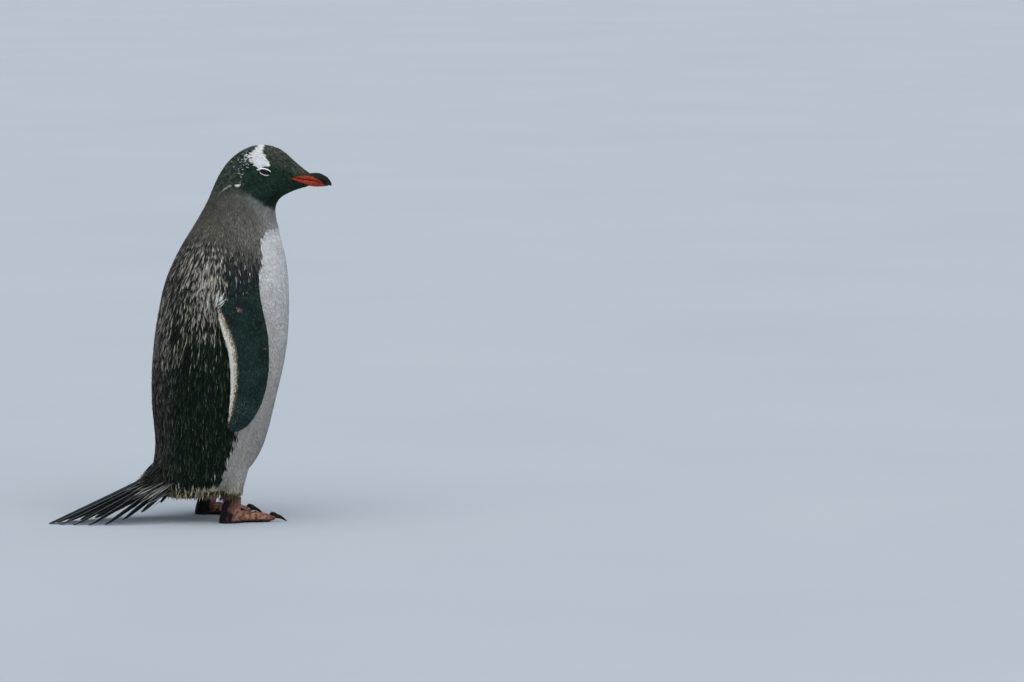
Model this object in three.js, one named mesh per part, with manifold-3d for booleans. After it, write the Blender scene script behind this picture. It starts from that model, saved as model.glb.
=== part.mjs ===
// A gentoo penguin at life size, standing at rest with its flippers hanging and its tail on the floor.
// Millimetres. +X is the way the bird faces, +Y is its left side, +Z is up, and Z = 0 is the floor.
// Each named part of the bird is one closed solid, parted from the next by a hairline gap.

import * as THREE from "three";
import { mergeVertices } from "three/addons/utils/BufferGeometryUtils.js";
import Module from "manifold-3d";

const wasm = await Module();
wasm.setup();

// ---------------------------------------------------------------- driving dimensions

const gap = 0.3; // the hairline between one part and the next
const floorLevel = 0;
const sides = { right: -1, left: 1 }; // the sign of Y on each side of the bird

// Slices through trunk, neck and head, from the vent to the root of the bill. Each runs from the outline
// of the back, [x, z], to the outline of the belly or throat, and half is half of its breadth.
const ribs = {
  vent: { back: [0, 38], front: [22, 41], half: 14 },
  thighs: { back: [-35, 36.5], front: [54, 45], half: 55 },
  rump: { back: [-57, 66], front: [84.5, 74], half: 84 },
  lowBelly: { back: [-52, 113], front: [109.5, 112], half: 97 },
  belly: { back: [-57, 187], front: [130.5, 187], half: 102 },
  waist: { back: [-53.5, 266], front: [148, 266], half: 98 },
  chest: { back: [-38.5, 350.5], front: [151.5, 350.5], half: 86 },
  shoulders: { back: [-16, 406], front: [145.5, 405], half: 70 },
  neckBase: { back: [10.5, 449], front: [133.5, 448], half: 53 },
  throat: { back: [28.5, 482], front: [131.5, 472.5], half: 42.5 },
  nape: { back: [41, 511], front: [139.5, 486], half: 37 },
  cheeks: { back: [55.5, 535.5], front: [154, 494], half: 33 },
  eyes: { back: [79, 556], front: [166, 498.5], half: 30 },
  crown: { back: [108, 565.8], front: [175, 501], half: 26 },
  brow: { back: [137, 559.5], front: [181.5, 502], half: 20 },
  forehead: { back: [158, 542.5], front: [184.5, 502.5], half: 14 },
  lores: { back: [174.5, 529], front: [186, 503], half: 9 },
  billRoot: { back: [182, 523.5], front: [186.8, 503.3], half: 7 },
};
const ribNames = Object.keys(ribs);
const ribSides = 24; // flats round the body
const squareness = 2.15; // 2 is an ellipse, more is a fuller flank

// The head is turned towards the right shoulder, and the neck takes up the turn between two heights.
const headTurn = THREE.MathUtils.degToRad(-10);
const turnFrom = 400;
const turnDone = 480;
const neckAxisX = 77;

const eyeRadius = 9.5;
const eyeAt = new THREE.Vector3(114, 0, 527);
const eyeProud = 1.6; // how far the eyeball stands out of the side of the head
const lidHalf = [9.2, 5.4]; // half length and half height of the ring of the lids
const lidThick = 1.3;
const lidTilt = THREE.MathUtils.degToRad(-17);

const gape = new THREE.Vector2(150.5, 517.5); // the corner of the mouth
const billTip = new THREE.Vector2(215.1, 504.2);

const flipperThick = 8;
const flipperClear = 1.2; // between the flipper and the flank

const legGauge = 55; // from the middle of the bird to the middle of a foot
const heelAt = { right: 30, left: 16 }; // how far forward each heel stands
const toeIn = 14; // degrees that a foot is turned in
const ankle = 40;

const tailPairs = 8;
const tailRoot = new THREE.Vector3(-44, 0, 80);
const tailLength = 174.5;
const quillThick = 1.3;

// The middle of the finished bird's length, where the part's origin lies.
const middleX = -1.1;

// ---------------------------------------------------------------- materials

const finish = (color, roughness) => new THREE.MeshStandardMaterial({ color, roughness, metalness: 0 });
const materials = {
  blackPlumage: finish(0x1b2624, 0.75),
  headPlumage: finish(0x222a27, 0.7),
  flipperPlumage: finish(0x16211f, 0.6),
  whitePlumage: finish(0xc9cacb, 0.85),
  tailQuill: finish(0x171c1d, 0.55),
  bill: finish(0xc4472a, 0.4),
  billRidge: finish(0x1a1b1c, 0.35),
  footSkin: finish(0xb0705c, 0.6),
  claw: finish(0x14130f, 0.4),
  eyeball: finish(0x1a120c, 0.1),
  lid: finish(0xe6e6e2, 0.5),
};

// ---------------------------------------------------------------- solids

// A closed geometry as a solid, turned the right way out.
function solidOf(geometry) {
  const bare = geometry.clone();
  bare.deleteAttribute("normal");
  bare.deleteAttribute("uv");
  const merged = mergeVertices(bare, 1e-3);
  const corners = Array.from(merged.index.array);
  const triVerts = [];
  for (let i = 0; i < corners.length; i += 3) {
    const [a, b, c] = corners.slice(i, i + 3);
    if (a !== b && b !== c && a !== c) triVerts.push(a, b, c);
  }
  const build = (order) => {
    const mesh = new wasm.Mesh({
      numProp: 3,
      vertProperties: merged.attributes.position.array,
      triVerts: new Uint32Array(order),
    });
    return new wasm.Manifold(mesh);
  };
  const made = build(triVerts);
  return made.volume() > 0 ? made : build(triVerts.reverse());
}

function geometryOf(solid) {
  const mesh = solid.getMesh();
  const geometry = new THREE.BufferGeometry();
  geometry.setAttribute("position", new THREE.BufferAttribute(mesh.vertProperties, 3));
  geometry.setIndex(new THREE.BufferAttribute(mesh.triVerts, 1));
  geometry.computeVertexNormals();
  return geometry;
}

// A solid a hairline larger all round.
function grown(solid, room = gap) {
  const geometry = geometryOf(solid);
  const { position, normal } = geometry.attributes;
  for (let i = 0; i < position.count; i++) {
    const point = new THREE.Vector3().fromBufferAttribute(position, i);
    const out = new THREE.Vector3().fromBufferAttribute(normal, i);
    point.addScaledVector(out, room);
    position.setXYZ(i, point.x, point.y, point.z);
  }
  return geometry;
}

// A solid cut back to a hairline from its neighbour.
function parted(solid, neighbour, room = gap) {
  return solid.subtract(solidOf(grown(neighbour, room)));
}

// Moves every vertex of a geometry to where place(x, y, z) puts it.
function reshape(geometry, place) {
  const position = geometry.attributes.position;
  for (let i = 0; i < position.count; i++) {
    const to = place(position.getX(i), position.getY(i), position.getZ(i));
    position.setXYZ(i, to.x, to.y, to.z);
  }
  return geometry;
}

// A closed sleeve: place(t, a, b) gives the point at t along it, where (a, b) lies in the unit disc.
function sleeve(flats, rings, place) {
  const cylinder = new THREE.CylinderGeometry(1, 1, 1, flats, rings);
  return reshape(cylinder, (x, y, z) => place(y + 0.5, x, z));
}

// A limb along a curve: size(t) gives its half breadth and half depth, and it ends round.
function limb(curve, size, flats, rings) {
  const up = new THREE.Vector3(0, 0, 1);
  return sleeve(flats, rings, (t, a, b) => {
    const along = curve.getTangentAt(t);
    const across = new THREE.Vector3().crossVectors(up, along).normalize();
    const over = new THREE.Vector3().crossVectors(along, across);
    const [halfBreadth, halfDepth] = size(t);
    return curve
      .getPointAt(t)
      .addScaledVector(across, a * halfBreadth)
      .addScaledVector(over, b * halfDepth);
  });
}

// 1 along a limb, falling to a blunt round end within `end` of its length at both ends.
function roundEnds(t, end) {
  const near = Math.min(t, 1 - t) / end;
  return near >= 1 ? 1 : Math.sqrt(Math.max(1 - (1 - near) ** 2, 0.06));
}

const lerp = THREE.MathUtils.lerp;
const smoothstep = THREE.MathUtils.smoothstep;

// Everything under the floor is cut away, which leaves small flats where the bird stands.
const ground = solidOf(new THREE.BoxGeometry(900, 600, 200).translate(0, 0, floorLevel - 100));

// ---------------------------------------------------------------- body

const backCurve = new THREE.CatmullRomCurve3(
  ribNames.map((n) => new THREE.Vector3(ribs[n].back[0], 0, ribs[n].back[1])),
  false,
  "catmullrom",
  0.5,
);
const frontCurve = new THREE.CatmullRomCurve3(
  ribNames.map((n) => new THREE.Vector3(ribs[n].front[0], ribs[n].half, ribs[n].front[1])),
  false,
  "catmullrom",
  0.5,
);

// The point of the rib at r, counted in ribs from the vent, where (a, b) lies in the unit disc:
// a runs from the back to the front, and b from the right side to the left.
function bodyPoint(r, a, b) {
  const u = r / (ribNames.length - 1);
  const back = backCurve.getPoint(u);
  const front = frontCurve.getPoint(u);
  const half = front.y;
  front.y = 0;
  const radius = Math.hypot(a, b);
  const fuller = radius > 0 ? radius * Math.sign(b) * Math.abs(b / radius) ** (2 / squareness) : 0;
  return new THREE.Vector3()
    .lerpVectors(back, front, (a + 1) / 2)
    .add(new THREE.Vector3(0, half * fuller, 0));
}

// Turns a point with the neck and head.
function turned(point) {
  const share = smoothstep(point.z, turnFrom, turnDone);
  const spin = headTurn * share;
  const x = point.x - neckAxisX;
  const y = point.y;
  return new THREE.Vector3(
    neckAxisX + x * Math.cos(spin) - y * Math.sin(spin),
    x * Math.sin(spin) + y * Math.cos(spin),
    point.z,
  );
}

function bodyLength(from, to, ringsPerRib) {
  const first = ribNames.indexOf(from);
  const last = ribNames.indexOf(to);
  const trim = gap / 2 / ribs[to].back[1]; // a hairline, as a share of a rib's spacing
  const start = first === 0 ? first : first + trim * 6;
  const end = last === ribNames.length - 1 ? last : last - trim * 6;
  const rings = (last - first) * ringsPerRib;
  return sleeve(ribSides, rings, (t, a, b) => turned(bodyPoint(lerp(start, end, t), b, a)));
}

// The half breadth of the trunk at a place on its side.
function flank(x, z) {
  let low = 1;
  let high = ribNames.indexOf("neckBase");
  for (let i = 0; i < 30; i++) {
    const middle = (low + high) / 2;
    if (bodyPoint(middle, 0, 0).z < z) low = middle;
    else high = middle;
  }
  const back = bodyPoint(low, -1, 0).x;
  const front = bodyPoint(low, 1, 0).x;
  const half = bodyPoint(low, 0, 1).y;
  const along = THREE.MathUtils.clamp((2 * x - back - front) / (front - back), -0.98, 0.98);
  return half * Math.sqrt(1 - along * along) ** (2 / squareness);
}

// ---------------------------------------------------------------- head

// The eyeball's middle, on one side, before the head is turned.
function eyeMiddle(side) {
  const surface = 29.4;
  return new THREE.Vector3(eyeAt.x, side * (surface - eyeRadius + eyeProud), eyeAt.z);
}

function eyeball(side) {
  const at = eyeMiddle(side);
  const ball = new THREE.SphereGeometry(eyeRadius, 12, 8);
  return reshape(ball, (x, y, z) => turned(new THREE.Vector3(at.x + x, at.y + y, at.z + z)));
}

// The ring of the lids, an oval drawn out to a point at its front and tilted down towards the bill.
function lidRing(side) {
  const ring = new THREE.TorusGeometry(1, 0.5, 5, 16);
  return reshape(ring, (x, y, z) => {
    const angle = Math.atan2(y, x);
    const tube = Math.hypot(x, y) - 1;
    const point = Math.cos(angle) > 0 ? Math.cos(angle) ** 6 * 1.6 : 0;
    const along = Math.cos(angle) * (lidHalf[0] + tube * lidThick * 2) + point;
    const up = Math.sin(angle) * (lidHalf[1] + tube * lidThick * 2);
    const dx = along * Math.cos(lidTilt) - up * Math.sin(lidTilt);
    const dz = along * Math.sin(lidTilt) + up * Math.cos(lidTilt);
    const onBall = Math.sqrt(Math.max((eyeRadius + 1.2) ** 2 - dx * dx - dz * dz, 20));
    const middle = eyeMiddle(side);
    const out = middle.y * side + onBall + z * lidThick * 1.4;
    return turned(new THREE.Vector3(eyeAt.x + dx, side * out, eyeAt.z + dz));
  });
}

// Half the breadth of the bill: it flares to the corners of the mouth at its root.
function billBreadth(t) {
  const flare = 21.2 * (1 - smoothstep(t, 0, 0.52));
  return Math.max(flare + 8.3 * smoothstep(t, 0.1, 0.55) * Math.sqrt(1 - t ** 3), 0.7);
}

const culmen = new THREE.CatmullRomCurve3([
  new THREE.Vector3(150.5, 0, 519.3),
  new THREE.Vector3(160, 0, 520.3),
  new THREE.Vector3(172, 0, 521.4),
  new THREE.Vector3(184, 0, 522.8),
  new THREE.Vector3(197, 0, 521.2),
  new THREE.Vector3(207, 0, 516.2),
  new THREE.Vector3(213.4, 0, 509.2),
  new THREE.Vector3(215.1, 0, 504.2),
]);
const gonys = new THREE.CatmullRomCurve3([
  new THREE.Vector3(150.5, 0, 515.6),
  new THREE.Vector3(160, 0, 511.8),
  new THREE.Vector3(172, 0, 507),
  new THREE.Vector3(184, 0, 502.8),
  new THREE.Vector3(197, 0, 501.9),
  new THREE.Vector3(206, 0, 502.5),
  new THREE.Vector3(211, 0, 503.8),
]);

// The height of a curve that runs forward, at x.
function heightAt(curve, x) {
  let low = 0;
  let high = 1;
  for (let i = 0; i < 24; i++) {
    const middle = (low + high) / 2;
    if (curve.getPoint(middle).x < x) low = middle;
    else high = middle;
  }
  return curve.getPoint(low).z;
}

// The cutting edge, where the two halves of the bill meet.
const mouthLine = (x) => lerp(gape.y, billTip.y, ((x - gape.x) / (billTip.x - gape.x)) ** 0.9);

// A length of the bill from the corner of the mouth: `above` and `below` are the heights, at x, that it
// arches up and down to from the cutting edge.
function billLength(length, above, below) {
  return sleeve(10, 11, (t, a, b) => {
    const x = lerp(gape.x, gape.x + length, t);
    const share = (x - gape.x) / (billTip.x - gape.x);
    const radius = Math.hypot(a, b);
    const square = lerp(0.25, 0.85, smoothstep(share, 0.2, 0.7));
    const rise = Math.abs(b) > 0.001 ? radius * Math.abs(b / radius) ** square : 0;
    const wide = billBreadth(share) * (above(x) > mouthLine(x) ? 1 : 0.94);
    const edge = b > 0 ? above(x) : below(x);
    const seam = Math.min(Math.max(mouthLine(x), below(x)), above(x));
    return turned(new THREE.Vector3(x, a * wide, lerp(seam, edge, rise)));
  });
}

const ridge = (x) => heightAt(culmen, x);
const keel = (x) => heightAt(gonys, x);
const billUpper = () => solidOf(billLength(upperLength, ridge, mouthLine));
const billLower = () => solidOf(billLength(lowerLength, (x) => mouthLine(x) - gap, keel));

const upperLength = billTip.x - gape.x - 0.6;
const lowerLength = 210.6 - gape.x;
const pocketLength = 190 - gape.x;

function headSolid() {
  let head = solidOf(bodyLength("throat", "billRoot", 2));
  const pocket = solidOf(billLength(pocketLength, ridge, keel));
  head = head.subtract(solidOf(grown(pocket, 1.2 * gap)));
  for (const side of Object.values(sides)) {
    head = parted(head, solidOf(eyeball(side)));
    head = parted(head, solidOf(lidRing(side)), 1.7 * gap);
  }
  return largest(head);
}

function largest(solid) {
  const pieces = solid.decompose();
  return pieces.reduce((best, piece) => (piece.volume() > best.volume() ? piece : best));
}

// ---------------------------------------------------------------- flippers

// The leading and trailing edges of a flipper at t along it, from the shoulder to the tip.
const leadingEdge = new THREE.CatmullRomCurve3([
  new THREE.Vector3(91, 0, 392),
  new THREE.Vector3(88, 0, 364),
  new THREE.Vector3(90, 0, 332),
  new THREE.Vector3(97.5, 0, 301),
  new THREE.Vector3(101.2, 0, 268),
  new THREE.Vector3(100.6, 0, 232),
  new THREE.Vector3(95.7, 0, 202),
  new THREE.Vector3(84, 0, 174.5),
  new THREE.Vector3(67, 0, 153.5),
  new THREE.Vector3(52, 0, 146),
  new THREE.Vector3(44, 0, 144.3),
]);
const trailingEdge = new THREE.CatmullRomCurve3([
  new THREE.Vector3(48, 0, 380),
  new THREE.Vector3(27, 0, 348),
  new THREE.Vector3(20.8, 0, 327),
  new THREE.Vector3(24.5, 0, 300),
  new THREE.Vector3(33.8, 0, 270),
  new THREE.Vector3(37.6, 0, 232),
  new THREE.Vector3(37, 0, 200),
  new THREE.Vector3(34.6, 0, 172),
  new THREE.Vector3(32.2, 0, 154),
  new THREE.Vector3(34.5, 0, 147),
  new THREE.Vector3(39, 0, 144.6),
]);

function flipper(side) {
  const geometry = sleeve(14, 12, (t, a, b) => {
    const lead = leadingEdge.getPoint(t);
    const trail = trailingEdge.getPoint(t);
    const chord = (a + 1) / 2;
    const at = new THREE.Vector3().lerpVectors(trail, lead, chord);
    const taper = lerp(1, 0.55, t) * roundEnds(Math.max(t, 0.5), 0.12);
    const thick = flipperThick * (0.35 + 0.65 * chord) * taper;
    const lift = flipperClear + thick / 2 + 3.5 * (2 * chord - 1) ** 2 + 4 * smoothstep(t, 0.55, 1);
    const out = flank(at.x, at.z) + lift - 14 * (1 - smoothstep(t, 0, 0.2));
    return new THREE.Vector3(at.x, side * (out + (b * thick) / 2), at.z);
  });
  return solidOf(geometry);
}

// ---------------------------------------------------------------- legs and feet

function legSpine(name, top, bottom) {
  const side = sides[name];
  const x = heelAt[name] + 22;
  return new THREE.CatmullRomCurve3([
    new THREE.Vector3(x, side * (legGauge - 5), top),
    new THREE.Vector3(x, side * (legGauge - 2), (top + bottom) / 2),
    new THREE.Vector3(x, side * legGauge, bottom),
  ]);
}

// The feathered leg: a short trouser that tapers to the ankle.
function trouser(name) {
  const spine = legSpine(name, 100, ankle);
  const taper = (t) => lerp(31, 17.5, smoothstep(t, 0.1, 0.95));
  return solidOf(limb(spine, (t) => [taper(t) * 0.92, taper(t)], 16, 5));
}

// Toes of a right foot, from the outer to the inner: how they splay, and their length to the claw.
const toes = {
  outer: { splay: 20, length: 73, half: 7.4 },
  middle: { splay: 0, length: 74, half: 7.8 },
  inner: { splay: -20, length: 60, half: 7 },
};
const clawLength = 17;
const heelToSplay = 14; // from the back of the heel to where the toes part

function toeWay(name, toe, from, to, heights) {
  const side = sides[name];
  const yaw = side * THREE.MathUtils.degToRad(toe.splay - toeIn);
  const root = new THREE.Vector3(heelAt[name] + heelToSplay, side * legGauge, 0);
  const points = heights.map((z, i) => {
    const reach = lerp(from, to, i / (heights.length - 1));
    return new THREE.Vector3(root.x + reach * Math.cos(yaw), root.y + reach * Math.sin(yaw), z);
  });
  return new THREE.CatmullRomCurve3(points);
}

function toeSolid(name, toe) {
  const way = toeWay(name, toe, 2, toe.length, [9.5, 8.6, 7.2, 6, 5]);
  const knuckles = (t) => 1 + 0.07 * Math.cos(t * Math.PI * 6);
  const size = (t) => {
    const round = roundEnds(t, 0.13) * knuckles(t);
    return [lerp(toe.half + 1.5, toe.half - 1.4, t) * round, lerp(10, 6, t) * round];
  };
  return solidOf(limb(way, size, 8, 6));
}

function clawSolid(name, toe) {
  const way = toeWay(name, toe, toe.length - 4, toe.length + clawLength, [8, 8.6, 7.4, 4.2, 0.9]);
  const size = (t) => {
    const thin = lerp(4.1, 0.7, t ** 1.3) * roundEnds(Math.min(t, 0.5), 0.1);
    return [thin * 0.85, thin];
  };
  return solidOf(limb(way, size, 6, 5));
}

// The web between two toes, scalloped along its front edge.
function webSolid(name, a, b) {
  const wayA = toeWay(name, a, 0, a.length * 0.86, [0, 0]);
  const wayB = toeWay(name, b, 0, b.length * 0.86, [0, 0]);
  const root = wayA.getPoint(0);
  const endA = wayA.getPoint(1);
  const endB = wayB.getPoint(1);
  const scallop = new THREE.Vector3().lerpVectors(endA, endB, 0.5).lerp(root, 0.17);
  const outline = new THREE.Shape();
  outline.moveTo(root.x, root.y);
  outline.lineTo(endA.x, endA.y);
  outline.quadraticCurveTo(scallop.x, scallop.y, endB.x, endB.y);
  outline.lineTo(root.x, root.y);
  return solidOf(new THREE.ExtrudeGeometry(outline, { depth: 3.4, bevelEnabled: false, curveSegments: 4 }));
}

// The tarsus comes down steeply on to the heel pad.
function tarsusSolid(name) {
  const side = sides[name];
  const x = heelAt[name];
  const spine = new THREE.CatmullRomCurve3([
    new THREE.Vector3(x + 22, side * legGauge, ankle - gap),
    new THREE.Vector3(x + 20.5, side * legGauge, 24),
    new THREE.Vector3(x + 17.5, side * legGauge, 10),
    new THREE.Vector3(x + 16, side * legGauge, -2),
  ]);
  return solidOf(limb(spine, (t) => [lerp(11, 13.5, t), lerp(14.5, 16, t)], 12, 4));
}

function heelSolid(name) {
  const side = sides[name];
  const x = heelAt[name];
  const pad = new THREE.SphereGeometry(1, 12, 5).scale(20, 13.5, 12);
  return solidOf(pad.translate(x + 20, side * legGauge, 4));
}

// The hallux is a short spur low on the inner side of the tarsus.
function halluxWay(name, from, to) {
  const side = sides[name];
  const at = (reach, drop) => {
    const x = heelAt[name] + 19 + reach * 0.7;
    const y = side * (legGauge - 11 - reach * 0.52);
    return new THREE.Vector3(x, y, 13 - reach * drop);
  };
  return new THREE.CatmullRomCurve3([at(from, 0.3), at((from + to) / 2, 0.31), at(to, 0.36)]);
}

function footSolid(name) {
  const halluxSize = (t) => [3.4 * roundEnds(t, 0.3), 3.4 * roundEnds(t, 0.3)];
  const pieces = [
    tarsusSolid(name),
    heelSolid(name),
    ...Object.values(toes).map((toe) => toeSolid(name, toe)),
    webSolid(name, toes.outer, toes.middle),
    webSolid(name, toes.middle, toes.inner),
    solidOf(limb(halluxWay(name, 0, 17), halluxSize, 8, 4)),
  ];
  return pieces.reduce((whole, piece) => whole.add(piece)).subtract(ground);
}

function halluxClaw(name) {
  const size = (t) => [lerp(2.2, 0.6, t), lerp(2.4, 0.6, t)];
  return solidOf(limb(halluxWay(name, 15, 25), size, 6, 3));
}

// ---------------------------------------------------------------- tail

// A tail feather of the pair `i`, counted from the middle: a stiff narrow vane. The middle ones reach
// the floor, and they grow shorter, and end higher, towards the edge of the fan.
function tailFeather(i, side) {
  const out = i / (tailPairs - 1);
  const tip = new THREE.Vector3(
    tailRoot.x - tailLength + 160 * out ** 1.3,
    side * (4 + 45 * Math.sin((out * Math.PI) / 2)),
    0.2 + 34 * Math.max(0, 2 * out - 1) ** 1.6,
  );
  const root = new THREE.Vector3(
    tailRoot.x + 8,
    side * (2 + 30 * out),
    tailRoot.z - 25 * out ** 1.2,
  );
  const sag = new THREE.Vector3().lerpVectors(root, tip, 0.55);
  sag.z -= lerp(5, 1, out);
  const spine = new THREE.QuadraticBezierCurve3(root, sag, tip);
  const size = (t) => [lerp(9, 7, out) * (1 - t ** 5) ** 0.7 + 0.5, quillThick * lerp(1.5, 0.75, t)];
  return solidOf(limb(spine, size, 4, 4));
}

// The root of the tail, where the quills leave the rump.
function tailRump() {
  const spine = new THREE.CatmullRomCurve3([
    new THREE.Vector3(-30, 0, 64),
    new THREE.Vector3(-52, 0, 61),
    new THREE.Vector3(-74, 0, 53),
    new THREE.Vector3(-96, 0, 44.5),
    new THREE.Vector3(-118, 0, 37),
  ]);
  const size = (t) => [lerp(46, 22, t) * roundEnds(Math.max(t, 0.5), 0.3), lerp(21, 3.5, t)];
  return solidOf(limb(spine, size, 12, 6));
}

function tailSolid() {
  const feathers = [];
  for (let i = 0; i < tailPairs; i++) {
    for (const side of Object.values(sides)) feathers.push(tailFeather(i, side));
  }
  return feathers.reduce((whole, feather) => whole.add(feather), tailRump()).subtract(ground);
}

// ---------------------------------------------------------------- the bird

const bird = new THREE.Group();

function place(name, solid, material) {
  const mesh = new THREE.Mesh(geometryOf(solid), material);
  mesh.name = name;
  mesh.position.x = -middleX;
  bird.add(mesh);
}

const trunk = solidOf(bodyLength("vent", "shoulders", 3));
place("trunk", trunk, materials.blackPlumage);
place("neck", solidOf(bodyLength("shoulders", "throat", 3)), materials.blackPlumage);
place("head", headSolid(), materials.headPlumage);
place("bill_upper", billUpper(), materials.billRidge);
place("bill_lower", billLower(), materials.bill);
place("tail", largest(parted(tailSolid(), trunk)), materials.tailQuill);

for (const [name, side] of Object.entries(sides)) {
  const eye = solidOf(eyeball(side));
  const foot = parted(footSolid(name), trunk);
  place(`eye_${name}`, eye, materials.eyeball);
  place(`eyelid_${name}`, parted(solidOf(lidRing(side)), eye), materials.lid);
  place(`flipper_${name}`, largest(parted(flipper(side), trunk)), materials.flipperPlumage);
  place(`leg_${name}`, largest(parted(parted(trouser(name), trunk), foot)), materials.whitePlumage);
  place(`foot_${name}`, foot, materials.footSkin);
  for (const [digit, toe] of Object.entries(toes)) {
    const claw = parted(clawSolid(name, toe), foot).subtract(ground);
    place(`claw_${name}_${digit}`, largest(claw), materials.claw);
  }
  place(`claw_${name}_hallux`, largest(parted(halluxClaw(name), foot)), materials.claw);
}

export default bird;
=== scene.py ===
# %% [markdown]
# # A gentoo penguin, from skin to feathers
#
# The imported solids give the bird's size and pose, one solid for each named part. This lesson dresses
# them: one skin for all the flesh, a coat of small stiff feathers over it, long tail feathers, a horny
# bill, eyes with their white ring of lids, scaly feet and claws. We load the frame first.

# %% Load the frame
import math
import bpy
import numpy as np
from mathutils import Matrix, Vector
from mathutils.bvhtree import BVHTree
from mathutils.kdtree import KDTree


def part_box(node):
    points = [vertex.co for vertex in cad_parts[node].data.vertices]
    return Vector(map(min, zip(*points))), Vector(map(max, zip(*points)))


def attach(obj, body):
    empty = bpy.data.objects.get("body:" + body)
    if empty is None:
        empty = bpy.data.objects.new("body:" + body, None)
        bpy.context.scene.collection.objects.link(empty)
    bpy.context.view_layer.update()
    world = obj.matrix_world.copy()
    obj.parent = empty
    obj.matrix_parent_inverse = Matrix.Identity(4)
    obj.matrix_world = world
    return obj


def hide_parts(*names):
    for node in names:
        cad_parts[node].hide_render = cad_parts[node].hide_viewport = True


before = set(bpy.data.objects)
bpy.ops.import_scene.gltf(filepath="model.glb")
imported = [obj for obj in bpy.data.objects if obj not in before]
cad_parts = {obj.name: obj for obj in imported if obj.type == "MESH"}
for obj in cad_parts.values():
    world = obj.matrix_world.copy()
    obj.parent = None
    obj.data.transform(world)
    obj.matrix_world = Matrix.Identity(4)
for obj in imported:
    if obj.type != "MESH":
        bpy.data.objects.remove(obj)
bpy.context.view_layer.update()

# %% [markdown]
# ## Two ways to give a place
#
# On a drawing of the bird it is easiest to speak in millimetres, with the head facing straight ahead.
# The real head is turned ten degrees to its right, and the neck takes up the turn between two heights.
# Two helpers go from the drawing to the frame and back, so every marking can be placed on the drawing.

# %% From the drawing to the frame and back
MM = 0.001
SIDES = {"right": -1, "left": 1}
ORIGIN_X = 1.1  # how far the drawing's origin lies ahead of the frame's, in mm
NECK_AXIS_X = 77
TURN_FROM, TURN_DONE = 400, 480
HEAD_TURN = math.radians(-10)


def smoothstep(value, low, high):
    share = np.clip((value - low) / (high - low), 0, 1)
    return share * share * (3 - 2 * share)


def spun(points, sign):
    spin = sign * HEAD_TURN * smoothstep(points[:, 2], TURN_FROM, TURN_DONE)
    x = points[:, 0] - NECK_AXIS_X
    y = points[:, 1]
    turned_x = NECK_AXIS_X + x * np.cos(spin) - y * np.sin(spin)
    turned_y = x * np.sin(spin) + y * np.cos(spin)
    return np.stack([turned_x, turned_y, points[:, 2]], 1)


def to_frame(points):
    """Drawing points in mm to metres in the frame, with the head turned."""
    points = spun(np.atleast_2d(np.asarray(points, float)), 1)
    return (points + [ORIGIN_X, 0, 0]) * MM


def to_drawing(points):
    """Frame points in metres to mm on the drawing, with the head turned straight."""
    points = np.atleast_2d(np.asarray(points, float)) / MM - [ORIGIN_X, 0, 0]
    return spun(points, -1)


def linear(code):
    """A hex colour, as a painter names it, to the linear values that a shader mixes."""
    values = [int(code[i : i + 2], 16) / 255 for i in (0, 2, 4)]
    return np.array([v / 12.92 if v <= 0.04045 else ((v + 0.055) / 1.055) ** 2.4 for v in values])


print("the bill points along", np.round(to_frame([[215, 0, 504]])[0], 4))

# %% [markdown]
# ## The camera
#
# A long lens a good nine metres away gives the flat, calm view of a bird seen from a distance, from a
# little behind its right side and just above its head. The bird stands left of the middle of the view,
# so the camera aims at the open floor in front of it.

# %% Camera
AZIMUTH, ELEVATION = math.radians(-15), math.radians(6)
LENS, SENSOR, DISTANCE = 210, 36, 9.04
aim = Vector((0.4770, -0.0984, 0.2679))
level = math.cos(ELEVATION)
back = Vector((math.sin(AZIMUTH) * level, -math.cos(AZIMUTH) * level, math.sin(ELEVATION)))
camera_data = bpy.data.cameras.new("camera")
camera_data.lens = LENS
camera_data.sensor_width = SENSOR
camera_data.clip_end = 200
camera = bpy.data.objects.new("camera", camera_data)
camera.location = aim + back * DISTANCE
camera.rotation_euler = (math.pi / 2 - ELEVATION, 0, AZIMUTH)
bpy.context.scene.collection.objects.link(camera)
bpy.context.scene.camera = camera
print("camera at", [round(v, 3) for v in camera.location])

# %% [markdown]
# ## Floor and light
#
# A pale floor runs out to the horizon and is only a stage. The light is that of an overcast day or a
# museum's soft box: a wide sun high over the bird's head, and a pale sky that fills the shadows.

# %% Floor and light
def deselect():
    bpy.ops.object.select_all(action="DESELECT")


def pick(obj):
    deselect()
    obj.select_set(True)
    bpy.context.view_layer.objects.active = obj


def new_material(name):
    material = bpy.data.materials.new(name)
    material.use_nodes = True
    return material, material.node_tree, material.node_tree.nodes["Principled BSDF"]


def wire(tree, node, **inputs):
    """Gives each named input of a node a constant, or the output of another node."""
    for key, value in inputs.items():
        target = node.inputs[key.replace("_", " ")]
        if isinstance(value, bpy.types.NodeSocket):
            tree.links.new(value, target)
        else:
            target.default_value = value
    return node


def add_node(tree, kind, **inputs):
    return wire(tree, tree.nodes.new("ShaderNode" + kind), **inputs)


def object_place(tree):
    return add_node(tree, "TexCoord").outputs["Object"]


deselect()
bpy.ops.mesh.primitive_plane_add(size=120)
floor = bpy.context.object
floor.name = "floor"
floor_finish, tree, shader = new_material("floor_paint")
grain = add_node(tree, "TexNoise", Vector=object_place(tree), Scale=1.5)
tones = {"Color1": (*linear("a3acb6"), 1), "Color2": (*linear("abb3bc"), 1)}
ramp = add_node(tree, "MixRGB", Fac=grain.outputs["Fac"], **tones)
tree.links.new(ramp.outputs["Color"], shader.inputs["Base Color"])
shader.inputs["Roughness"].default_value = 0.9
shader.inputs["Specular IOR Level"].default_value = 0.15
floor.data.materials.append(floor_finish)

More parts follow.
